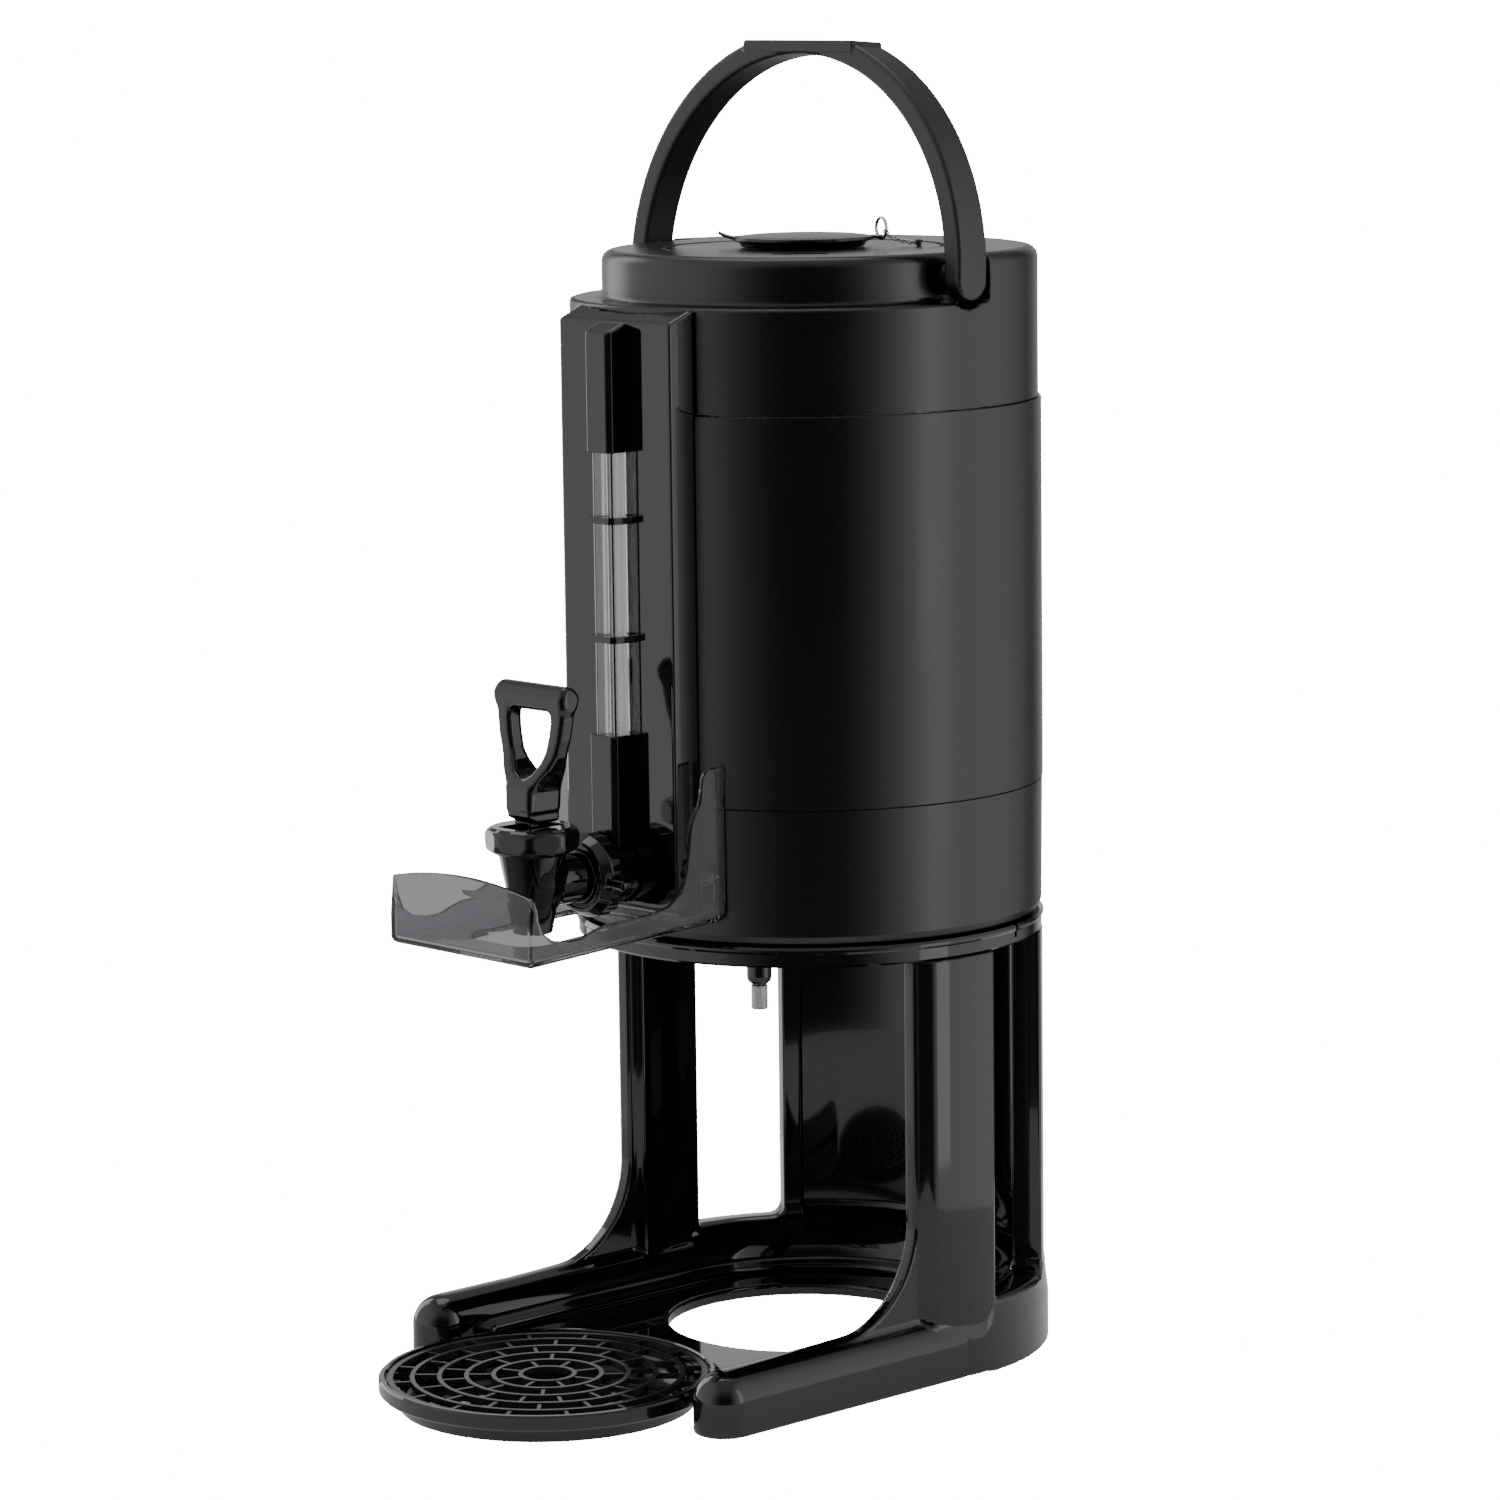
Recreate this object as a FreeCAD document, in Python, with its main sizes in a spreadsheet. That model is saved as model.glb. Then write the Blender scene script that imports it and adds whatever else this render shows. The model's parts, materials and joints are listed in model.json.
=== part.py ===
"""Thermal coffee server with a tap, a sight gauge and a carrying bail, on a stand with a drip tray.

Millimetres, +Z up, front towards -Y. Each piece is drawn about the server's own axis, and the
whole is then moved so that the origin is on the table in the middle of the footprint.
"""
import FreeCAD, Part
import math
import os
import Sketcher

Vector = FreeCAD.Vector

# Driving dimensions. Every other size is worked out from these.
DIMENSIONS = {
    # stand moulding
    "origin_ahead": 61.15, "stand_radius": 101.3, "arm_width": 25.4, "arm_shoulder": 14.0,
    "arm_reach": 136.0, "skirt_bottom": 1.0, "plate_bottom": 3.5, "plate_top": 9.0, "plate_front": 118.0,
    "hole_radius": 57.4, "hole_setback": 8.0, "post_outer": 100.0, "post_depth": 15.0,
    "post_angle": 24.4, "post_centre": -4.6, "panel_outer": 99.5, "panel_wall": 6.0,
    "panel_angle": 110.0, "column_depth": 13.0, "column_angle": 5.8, "sill_height": 31.0,
    "ring_bottom": 180.0, "ring_top": 188.5, "ring_outer": 99.2, "ring_inner": 80.5,
    "rib_inner": 86.0, "rib_outer": 95.0, "rib_front": 29.6, "gusset_radius": 43.0,
    "gusset_foot": 24.0, "gusset_bury": 8.0, "flute_radius": 3.4, "flute_angle": 15.4,
    "flute_set": 0.6, "flute_end": 4.0, "key_polar": 16.5, "foot_radius": 7.0,
    # drip tray and grate
    "tray_setback": 153.6, "tray_rim": 70.0, "tray_top": 13.0, "tray_floor_radius": 61.5,
    "tray_wall": 2.6, "tray_step": 6.4, "grate_radius": 66.4, "grate_pitch": 11.2,
    "grate_bar": 1.9, "grate_depth": 2.8, "tray_gap": 0.8,
    # lock plunger under the stand ring
    "plunger_reach": 90.5, "plunger_polar": -57.4, "boss_radius": 5.2, "boss_drop": 7.8,
    "pin_radius": 2.0, "knob_radius": 3.5, "knob_length": 10.6, "fit": 0.06,
    # server shells
    "sleeve_radius": 100.0, "shell_wall": 2.6, "band_radius": 99.7, "band_foot_radius": 99.2,
    "body_bottom": 188.9, "seam_low": 245.5, "seam_high": 407.2, "cover_radius": 98.7,
    "ledge": 450.6, "body_top": 470.5, "recess_radius": 85.0, "seam": 0.4,
    "spigot_radius": 79.0, "spigot_drop": 4.0,
    # vacuum vessel
    "vessel_radius": 93.6, "liner_radius": 88.6, "vessel_wall": 0.9, "vessel_bottom": 193.0,
    "liner_bottom": 198.0, "shoulder": 428.0, "neck_radius": 56.0, "neck_root": 446.0,
    "neck_top": 461.0, "neck_gap": 1.1, "vessel_crown": 8.0,
    # lid
    "lid_radius": 58.4, "lid_thickness": 6.0, "plug_radius": 53.6, "plug_drop": 26.0,
    "vent_hole": 16.0, "fill_tube_radius": 9.0, "fill_tube_end": 216.0,
    "cap_radius": 29.5, "cap_base": 21.0, "cap_rise": 5.4, "cap_polar": 47.0,
    # carrying bail
    "bail_outer": 100.4, "bail_thickness": 9.6, "bail_width": 16.8, "bail_pivot": 459.8,
    "bail_lean": 3.9, "bail_plate_half": 33.0, "bail_plate_top": 96.5, "bail_eye": 8.4,
    "pivot_radius": 4.0,
    # front shroud and sight gauge
    "shroud_half": 33.7, "shroud_front": 107.8, "shroud_back": 94.6, "shroud_bottom": 200.5,
    "shroud_wall": 2.6, "shroud_slope": 22.0, "cover_front": 118.0, "cover_half": 7.6,
    "cover_flare": 2.2, "gauge_low": 275.2, "gauge_high": 391.7, "cover_low_end": 233.6,
    "cover_high_end": 442.0, "gauge_axis": 109.4, "gauge_tube_radius": 4.4,
    "window_half": 6.5, "window_front": 115.4, "window_wall": 1.3, "clip_high": 364.0,
    "clip_low": 315.0, "clip_height": 2.8,
    # tap
    "tap_height": 218.0, "tap_reach": 156.5, "shank_radius": 8.0, "shank_bore": 4.5,
    "tee_radius": 12.4, "wing_nut_radius": 17.2, "wing_nut_front": 133.0, "wing_nut_back": 120.6,
    "wing_span": 27.0, "cup_top": 228.2, "cup_radius": 13.4, "cup_bottom": 198.0,
    "spout_radius": 7.6, "bonnet_radius": 19.4, "bonnet_top": 242.4, "lever_half": 6.8,
    "lever_depth": 20.2, "lever_block_top": 259.5, "lever_bar_height": 295.2,
    "lever_bar_radius": 5.5, "lever_bar_half": 22.3, "lever_pivot": 237.6, "loop_depth": 8.0,
    "loop_wall": 6.6,
    # splash guard
    "guard_half": 44.2, "guard_front": 196.8, "guard_back": 92.4, "guard_bottom": 193.4,
    "guard_wall": 2.4, "guard_upright": 11.4, "guard_top": 264.0,
    "guard_rise": 5.5, "guard_screw": 38.6,
}


class Size:
    """A length or angle that knows its value and the sheet expression that gives it."""

    def __init__(self, value, text):
        self.value = float(value)
        self.text = text

    def __add__(self, other):
        other = size(other)
        return Size(self.value + other.value, f"({self.text} + {other.text})")

    def __radd__(self, other):
        return size(other) + self

    def __sub__(self, other):
        other = size(other)
        return Size(self.value - other.value, f"({self.text} - {other.text})")

    def __rsub__(self, other):
        return size(other) - self

    def __mul__(self, other):
        other = size(other)
        return Size(self.value * other.value, f"({self.text} * {other.text})")

    def __rmul__(self, other):
        return size(other) * self

    def __truediv__(self, other):
        other = size(other)
        return Size(self.value / other.value, f"({self.text} / {other.text})")

    def __neg__(self):
        return Size(-self.value, f"(-1 * {self.text})")


def size(number):
    """Turns a plain number into a Size; a Size stays as it is."""
    return number if isinstance(number, Size) else Size(number, repr(float(number)))


class Sheet:
    """Gives each spreadsheet cell as a Size, by its alias."""

    def __getattr__(self, alias):
        return Size(DIMENSIONS[alias], f"dims.{alias}")


doc = FreeCAD.newDocument("thermal_server")
cells = doc.addObject("Spreadsheet::Sheet", "dims")
for row, (alias, number) in enumerate(DIMENSIONS.items(), start=1):
    cells.set(f"A{row}", alias)
    cells.set(f"B{row}", str(number))
    cells.setAlias(f"B{row}", alias)
doc.recompute()
d = Sheet()
parts = []


# ---------------------------------------------------------------- sketch and feature helpers
def new_body(name):
    body = doc.addObject("PartDesign::Body", name)
    body.Label = name
    parts.append(body)
    return body


def sketch_on(body, role, lift=0, turn=0):
    """A sketch on one of the body's own origin planes, lifted along the plane's normal.

    On the XZ plane a turn swings the sketch about the vertical, so that a part ring can start
    at any polar angle.
    """
    plane = [feature for feature in body.Origin.OriginFeatures if feature.Role == role][0]
    sketch = body.newObject("Sketcher::SketchObject", f"{body.Name}_sketch")
    sketch.AttachmentSupport = [(plane, "")]
    sketch.MapMode = "FlatFace"
    if turn:
        sketch.AttachmentOffset = FreeCAD.Placement(
            Vector(0, 0, 0), FreeCAD.Rotation(Vector(0, 1, 0), size(turn).value))
    if size(lift).value:
        sketch.setExpression("AttachmentOffset.Base.z", size(lift).text)
    return sketch


def pin_point(sketch, geometry, point, x, y):
    """Ties one sketch point to its x and y sizes."""
    for kind, axis, length in (("DistanceX", -2, size(x)), ("DistanceY", -1, size(y))):
        if abs(length.value) < 1e-9:
            sketch.addConstraint(Sketcher.Constraint("PointOnObject", geometry, point, axis))
        else:
            index = sketch.addConstraint(
                Sketcher.Constraint(kind, -1, 1, geometry, point, length.value))
            sketch.setExpression(f"Constraints[{index}]", length.text)


def polygon(sketch, points):
    """A closed outline of straight edges through the given points."""
    corners = [Vector(size(x).value, size(y).value, 0) for x, y in points]
    first = sketch.GeometryCount
    count = len(corners)
    for number, corner in enumerate(corners):
        sketch.addGeometry(Part.LineSegment(corner, corners[(number + 1) % count]), False)
    for number in range(count):
        following = first + (number + 1) % count
        sketch.addConstraint(Sketcher.Constraint("Coincident", first + number, 2, following, 1))
    for number, (x, y) in enumerate(points):
        pin_point(sketch, first + number, 1, x, y)
    return sketch


def rectangle(sketch, x0, x1, y0, y1):
    return polygon(sketch, [(x0, y0), (x1, y0), (x1, y1), (x0, y1)])


def circle(sketch, x, y, radius):
    radius = size(radius)
    centre = Vector(size(x).value, size(y).value, 0)
    index = sketch.addGeometry(Part.Circle(centre, Vector(0, 0, 1), radius.value), False)
    pin_point(sketch, index, 3, x, y)
    constraint = sketch.addConstraint(Sketcher.Constraint("Radius", index, radius.value))
    sketch.setExpression(f"Constraints[{constraint}]", radius.text)
    return sketch


def arch(sketch, x0, x1, y0, y1):
    """A rectangle with a half round on its top edge, centred on height y1."""
    x0, x1, y0, y1 = size(x0), size(x1), size(y0), size(y1)
    first = sketch.GeometryCount
    low_left, low_right = Vector(x0.value, y0.value, 0), Vector(x1.value, y0.value, 0)
    left, right = Vector(x0.value, y1.value, 0), Vector(x1.value, y1.value, 0)
    centre = (left + right) * 0.5
    round_top = Part.Circle(centre, Vector(0, 0, 1), (x1.value - x0.value) / 2)
    sketch.addGeometry(Part.LineSegment(left, low_left), False)
    sketch.addGeometry(Part.LineSegment(low_left, low_right), False)
    sketch.addGeometry(Part.LineSegment(low_right, right), False)
    sketch.addGeometry(Part.ArcOfCircle(round_top, 0, math.pi), False)
    sketch.addConstraint(Sketcher.Constraint("Coincident", first, 2, first + 1, 1))
    sketch.addConstraint(Sketcher.Constraint("Coincident", first + 1, 2, first + 2, 1))
    sketch.addConstraint(Sketcher.Constraint("Coincident", first + 2, 2, first + 3, 1))
    sketch.addConstraint(Sketcher.Constraint("Coincident", first + 3, 2, first, 1))
    pin_point(sketch, first, 1, x0, y1)
    pin_point(sketch, first + 1, 1, x0, y0)
    pin_point(sketch, first + 2, 1, x1, y0)
    pin_point(sketch, first + 3, 1, x1, y1)
    index = sketch.addConstraint(Sketcher.Constraint("DistanceY", -1, 1, first + 3, 3, y1.value))
    sketch.setExpression(f"Constraints[{index}]", y1.text)
    return sketch


def pad(body, sketch, length, both=False, back=False):
    feature = body.newObject("PartDesign::Pad", f"{body.Name}_pad")
    feature.Profile = sketch
    feature.Midplane = both
    feature.Reversed = back
    feature.setExpression("Length", size(length).text)
    return feature


def pocket(body, sketch, length, both=False, back=False):
    """Cuts the sketch into the body; back points the cut along the sketch's own normal."""
    before = volume_of(body)
    feature = body.newObject("PartDesign::Pocket", f"{body.Name}_pocket")
    feature.Profile = sketch
    feature.Midplane = both
    feature.Reversed = back
    feature.setExpression("Length", size(length).text)
    require_less(body, before)
    return feature


def volume_of(body):
    doc.recompute()
    return body.Shape.Volume


def require_less(body, before):
    if volume_of(body) >= before - 1e-6:
        raise RuntimeError(f"a cut in {body.Name} removed nothing")


def revolve(body, sketch, axis="V_Axis", angle=360, both=False):
    feature = body.newObject("PartDesign::Revolution", f"{body.Name}_revolution")
    feature.Profile = sketch
    feature.ReferenceAxis = (sketch, [axis])
    feature.Midplane = both
    feature.setExpression("Angle", size(angle).text)
    return feature


def groove(body, sketch, axis="V_Axis", angle=360, both=False):
    before = volume_of(body)
    feature = body.newObject("PartDesign::Groove", f"{body.Name}_groove")
    feature.Profile = sketch
    feature.ReferenceAxis = (sketch, [axis])
    feature.Midplane = both
    feature.setExpression("Angle", size(angle).text)
    require_less(body, before)
    return feature


def round_edges(body, radius, chosen, chamfer=False):
    """Rounds or chamfers every edge of the body for which chosen(edge) is true."""
    doc.recompute()
    tip = body.Tip
    names = [f"Edge{number}" for number, edge in enumerate(tip.Shape.Edges, start=1)
             if chosen(edge)]
    if not names:
        raise RuntimeError(f"no edges to round in {body.Name}")
    kind = "Chamfer" if chamfer else "Fillet"
    feature = body.newObject(f"PartDesign::{kind}", f"{body.Name}_{kind.lower()}")
    feature.Base = (tip, names)
    feature.setExpression("Size" if chamfer else "Radius", size(radius).text)
    doc.recompute()
    if not feature.isValid() or feature.Shape.isNull() or not feature.Shape.isValid():
        raise RuntimeError(f"the rounded edges of {body.Name} failed")
    return feature


def polar(body, feature, count, angle=360):
    """Repeats a feature about the body's vertical axis."""
    axis = [item for item in body.Origin.OriginFeatures if item.Role == "Z_Axis"][0]
    pattern = body.newObject("PartDesign::PolarPattern", f"{body.Name}_pattern")
    pattern.Originals = [feature]
    pattern.Axis = (axis, [""])
    pattern.Angle = angle
    pattern.Occurrences = count
    body.Tip = pattern
    return pattern


def place(body, x=0, y=0, z=0):
    """Puts the body's own origin at x, y, z."""
    for letter, length in zip("xyz", (x, y, z)):
        if size(length).value:
            body.setExpression(f"Placement.Base.{letter}", size(length).text)
    return body


def turned_part(name, outline, x=0, y=0, z=0, along="Z"):
    """A solid of revolution: the outline's points are radius and distance along the axis."""
    body = new_body(name)
    role = "XZ_Plane" if along == "Z" else "XY_Plane"
    if along == "X":
        outline = [(run, radius) for radius, run in outline]
    revolve(body, polygon(sketch_on(body, role), outline), "H_Axis" if along == "X" else "V_Axis")
    return place(body, x, y, z)


def plain_ring(inner, outer, low, high):
    return [(inner, low), (outer, low), (outer, high), (inner, high)]


def is_circle(edge):
    try:
        return edge.Curve.TypeId == "Part::GeomCircle"
    except TypeError:
        return False


def at_height(edge, height, slack=0.02):
    box = edge.BoundBox
    return abs(box.ZMin - height) < slack and abs(box.ZMax - height) < slack


def is_upright(edge):
    box = edge.BoundBox
    return box.ZLength > 1 and box.XLength < 0.01 and box.YLength < 0.01


# ---------------------------------------------------------------- stand
def wall(body, inner, outer, low, high, middle, spread):
    """An upright curved wall: middle and spread are its plan angles from +X, in degrees."""
    sketch = rectangle(sketch_on(body, "XZ_Plane", turn=middle), inner, outer, low, high)
    return revolve(body, sketch, angle=spread, both=True)


def rib(body, side, top):
    """Rib on a post's front edge, with a curved gusset that runs down on to its arm."""
    start = side * d.rib_inner if side > 0 else -d.rib_outer
    sketch = sketch_on(body, "YZ_Plane", lift=start)
    toe = d.arm_shoulder + d.arm_width / 2
    arc_top = toe + d.gusset_radius
    low = d.arm_shoulder + d.gusset_bury
    back, front = -d.gusset_foot, -d.rib_front
    tip = -(d.rib_front + d.gusset_radius)
    corners = [(back, low), (back, top), (front, top), (front, arc_top), (tip, toe), (tip, low)]
    values = [Vector(y.value, z.value, 0) for y, z in corners]
    sweep = Part.Circle(Vector(tip.value, arc_top.value, 0), Vector(0, 0, 1),
                        d.gusset_radius.value)
    for number in (0, 1, 2):
        sketch.addGeometry(Part.LineSegment(values[number], values[number + 1]), False)
    sketch.addGeometry(Part.ArcOfCircle(sweep, -math.pi / 2, 0), False)
    sketch.addGeometry(Part.LineSegment(values[4], values[5]), False)
    sketch.addGeometry(Part.LineSegment(values[5], values[0]), False)
    joins = [(0, 2, 1, 1), (1, 2, 2, 1), (2, 2, 3, 2), (3, 1, 4, 1), (4, 2, 5, 1), (5, 2, 0, 1)]
    for one, one_end, other, other_end in joins:
        sketch.addConstraint(Sketcher.Constraint("Coincident", one, one_end, other, other_end))
    for geometry, end, corner in ((0, 1, 0), (1, 1, 1), (2, 1, 2), (3, 2, 3), (4, 1, 4), (5, 1, 5)):
        pin_point(sketch, geometry, end, *corners[corner])
    index = sketch.addConstraint(Sketcher.Constraint("Radius", 3, d.gusset_radius.value))
    sketch.setExpression(f"Constraints[{index}]", d.gusset_radius.text)
    pad(body, sketch, d.rib_outer - d.rib_inner)


def cut_below(body, height, depth):
    """Removes everything of the body between a level and depth below it."""
    reach = d.stand_radius + d.arm_reach
    pocket(body, rectangle(sketch_on(body, "XY_Plane", lift=height), -reach, reach, -reach,
                           reach), depth)


def arm_tip(body, side):
    """Domed end of an arm: a quarter outline turned about the arm's own upright axis."""
    foot, shoulder, half = d.skirt_bottom, d.arm_shoulder, d.arm_width / 2
    sketch = sketch_on(body, "XZ_Plane", lift=d.arm_reach)
    arm_centre = d.stand_radius - half
    sketch.setExpression("AttachmentOffset.Base.x", (side * arm_centre).text)
    doc.recompute()
    dome = Part.Circle(Vector(0, shoulder.value, 0), Vector(0, 0, 1), half.value)
    low, out = Vector(0, foot.value, 0), Vector(half.value, foot.value, 0)
    brow, crown = Vector(half.value, shoulder.value, 0), Vector(0, (shoulder + half).value, 0)
    sketch.addGeometry(Part.LineSegment(low, out), False)
    sketch.addGeometry(Part.LineSegment(out, brow), False)
    sketch.addGeometry(Part.ArcOfCircle(dome, 0, math.pi / 2), False)
    sketch.addGeometry(Part.LineSegment(crown, low), False)
    for number in range(4):
        sketch.addConstraint(Sketcher.Constraint("Coincident", number, 2, (number + 1) % 4, 1))
    pin_point(sketch, 0, 1, 0, foot)
    pin_point(sketch, 1, 1, half, foot)
    pin_point(sketch, 2, 1, half, shoulder)
    sketch.addConstraint(Sketcher.Constraint("PointOnObject", 3, 1, -2))
    pin_point(sketch, 2, 3, 0, shoulder)
    revolve(body, sketch)


def make_stand_base():
    """Horseshoe foot with its floor plate, up to the level of the sill."""
    body = new_body("stand_base")
    arm_inner = d.stand_radius - d.arm_width
    arm_centre = d.stand_radius - d.arm_width / 2
    foot, shoulder = d.skirt_bottom, d.arm_shoulder

    # half ring at the back and two arms, all with a half round top
    revolve(body, arch(sketch_on(body, "XZ_Plane", turn=90), arm_inner, d.stand_radius, foot,
                       shoulder), angle=180, both=True)
    for side in (-1, 1):
        inner, outer = sorted((side * arm_inner, side * d.stand_radius),
                              key=lambda length: length.value)
        pad(body, arch(sketch_on(body, "XZ_Plane"), inner, outer, foot, shoulder), d.arm_reach)
        arm_tip(body, side)

    # floor plate between the arms, with the cup hole and the bay for the drip tray
    plate = d.plate_top - d.plate_bottom
    pad(body, rectangle(sketch_on(body, "XY_Plane", lift=d.plate_bottom), -arm_centre, arm_centre,
                        -d.plate_front, 0), plate)
    pad(body, circle(sketch_on(body, "XY_Plane", lift=d.plate_bottom), 0, 0, arm_centre), plate)
    pocket(body, circle(sketch_on(body, "XY_Plane", lift=d.plate_top), 0, -d.hole_setback,
                        d.hole_radius), plate)
    pocket(body, circle(sketch_on(body, "XY_Plane", lift=d.plate_top), 0, -d.tray_setback,
                        d.tray_rim + d.tray_gap), plate)

    # sill, and the feet of the posts and gussets, cut off level with the sill
    wall(body, d.panel_outer - d.column_depth, d.post_outer, shoulder, d.sill_height, 90, 180)
    for side in (-1, 1):
        middle = 90 - side * (90 - DIMENSIONS["post_centre"])
        wall(body, d.post_outer - d.post_depth, d.post_outer, shoulder, d.sill_height, middle,
             d.post_angle)
        rib(body, side, d.ring_bottom)
    cut_below(body, d.ring_bottom, d.ring_bottom - d.sill_height)
    round_edges(body, 1.2, lambda edge: is_circle(edge) and at_height(edge, d.plate_top.value)
                and edge.BoundBox.XLength > 50)
    return body


def is_inner_corner(edge):
    """An upright edge on the inner side of a post or of the back panel's thick edges."""
    middle = edge.BoundBox.Center
    inner = DIMENSIONS["panel_outer"] - DIMENSIONS["column_depth"]
    return (is_upright(edge) and edge.BoundBox.ZLength > 100
            and math.hypot(middle.x, middle.y) < inner + 1)


def make_stand_post(side, name):
    """Front post with its rib and gusset above the sill, and a flute down its face."""
    body = new_body(name)
    middle = 90 - side * (90 - DIMENSIONS["post_centre"])
    wall(body, d.post_outer - d.post_depth, d.post_outer, d.arm_shoulder, d.ring_bottom, middle,
         d.post_angle)
    rib(body, side, d.ring_bottom)
    cut_below(body, d.sill_height, d.sill_height)
    angle = math.radians(90 - side * (90 + DIMENSIONS["flute_angle"]))
    reach = d.post_outer + d.flute_set
    pocket(body, circle(sketch_on(body, "XY_Plane", lift=d.ring_bottom - d.flute_end),
                        reach * math.cos(angle), reach * math.sin(angle), d.flute_radius),
           d.ring_bottom - d.flute_end - d.sill_height - 3)
    round_edges(body, 1.2, is_inner_corner)
    return body


def make_stand_back():
    """Back panel with a thick column down each side."""
    body = new_body("stand_back")
    wall(body, d.panel_outer - d.panel_wall, d.panel_outer, d.sill_height, d.ring_bottom, 90,
         d.panel_angle)
    for side in (-1, 1):
        middle = 90 + side * (DIMENSIONS["panel_angle"] - DIMENSIONS["column_angle"]) / 2
        wall(body, d.panel_outer - d.column_depth, d.panel_outer, d.sill_height, d.ring_bottom,
             middle, d.column_angle)
    round_edges(body, 1.2, is_inner_corner)
    return body


def make_stand_ring():
    """Ring that carries the server, with a bead outside, a key slot and the plunger's hole."""
    body = new_body("stand_ring")
    bead = 0.8
    revolve(body, polygon(sketch_on(body, "XZ_Plane"), [
        (d.ring_inner, d.ring_bottom), (d.ring_outer - 1, d.ring_bottom),
        (d.ring_outer, d.ring_bottom + 1), (d.ring_outer, d.ring_top - 3),
        (d.ring_outer + bead, d.ring_top - 2), (d.ring_outer + bead, d.ring_top - 1),
        (d.ring_outer, d.ring_top), (d.ring_inner, d.ring_top)]))
    polar_angle = math.radians(DIMENSIONS["plunger_polar"])
    pocket(body, circle(sketch_on(body, "XY_Plane", lift=d.ring_top),
                        d.plunger_reach * math.cos(polar_angle),
                        d.plunger_reach * math.sin(polar_angle), d.pin_radius + d.fit),
           d.ring_top - d.ring_bottom)
    key = rectangle(sketch_on(body, "XZ_Plane", turn=DIMENSIONS["key_polar"]),
                    d.ring_outer - 2.5, d.ring_outer + 2, d.ring_top - 5.5, d.ring_top + 1)
    groove(body, key, angle=1.2, both=True)
    return body


def make_stand_feet():
    """Four rubber pads, pressed to the underside of the arms and of the back."""
    body = new_body("stand_feet")
    arm_centre = d.stand_radius - d.arm_width / 2
    sketch = sketch_on(body, "XY_Plane")
    diagonal = arm_centre * math.sin(math.radians(45))
    for side in (-1, 1):
        circle(sketch, side * arm_centre, -(d.arm_reach - 6), d.foot_radius)
        circle(sketch, side * diagonal, diagonal, d.foot_radius)
    feet = pad(body, sketch, d.skirt_bottom)
    feet.AllowMultiFace = True
    return body


def make_tray():
    low = 0
    step, rim, top = d.tray_step, d.tray_rim, d.tray_top
    floor = d.tray_wall + 0.4
    ledge = top - d.grate_depth - 1.2
    outline = [(0, low), (d.tray_floor_radius, low), (d.tray_floor_radius + 3.6, step),
               (rim - 1, step), (rim, step + 1), (rim, top - 0.8), (rim - 0.8, top),
               (rim - 2.4, top), (rim - 3, top - 0.6), (rim - 3, ledge),
               (d.tray_floor_radius, ledge), (d.tray_floor_radius - 2.4, floor), (0, floor)]
    return turned_part("drip_tray", outline, y=-d.tray_setback)


def make_grate():
    """Concentric rings joined by short spokes that are staggered from ring to ring."""
    body = new_body("drip_grate")
    high = d.tray_top - 0.9
    low = high - d.grate_depth
    half = d.grate_bar / 2
    ring_count = 5
    for number in range(1, ring_count + 1):
        middle = d.grate_pitch * number
        revolve(body, rectangle(sketch_on(body, "XZ_Plane"), middle - half, middle + half,
                                low, high))
        outer = d.grate_pitch * (number + 1)
        outer = outer if number < ring_count else d.grate_radius - d.grate_bar
        spokes = 8 if number < 3 else 16
        turn = 180 / spokes * (number % 2)
        spoke = sketch_on(body, "XZ_Plane", turn=turn + 0.001)
        rectangle(spoke, middle + half / 2, outer - half / 4, low + 0.3, high - 0.3)
        polar(body, pad(body, spoke, d.grate_bar * 0.8, both=True), spokes)
    revolve(body, rectangle(sketch_on(body, "XZ_Plane"), d.grate_radius - d.grate_bar * 1.3,
                            d.grate_radius, low, high))
    return place(body, y=-d.tray_setback)


def make_plunger():
    """Spring plunger that pins the server to its stand: boss, pin with its knob, and spring."""
    angle = math.radians(DIMENSIONS["plunger_polar"])
    x, y = d.plunger_reach * math.cos(angle), d.plunger_reach * math.sin(angle)
    bore = d.pin_radius + 1.4
    low, high = d.ring_bottom - d.boss_drop, d.ring_bottom
    turned_part("plunger_boss", [
        (d.pin_radius + d.fit, low), (d.boss_radius - 1.6, low), (d.boss_radius - 0.4, low + 1.2),
        (d.boss_radius, low + 3), (d.boss_radius, high), (bore, high), (bore, low + 1.6),
        (d.pin_radius + d.fit, low + 1.6)], x, y)
    collar = high - 1.4
    knob_top = low - 0.4
    turned_part("plunger_pin", [
        (0, knob_top - d.knob_length), (d.knob_radius - 0.6, knob_top - d.knob_length),
        (d.knob_radius, knob_top - d.knob_length + 0.6), (d.knob_radius, knob_top - 0.6),
        (d.knob_radius - 0.6, knob_top), (d.pin_radius, knob_top), (d.pin_radius, collar),
        (bore - 0.15, collar), (bore - 0.15, high - 0.4), (d.pin_radius, high - 0.4),
        (d.pin_radius, d.body_bottom + 1.4), (d.pin_radius - 0.7, d.body_bottom + 2.2),
        (0, d.body_bottom + 2.2)], x, y)
    coil("plunger_spring", d.pin_radius + 0.75, 0.3, 1.1, low + 1.95, collar - 0.35, x, y)


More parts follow.
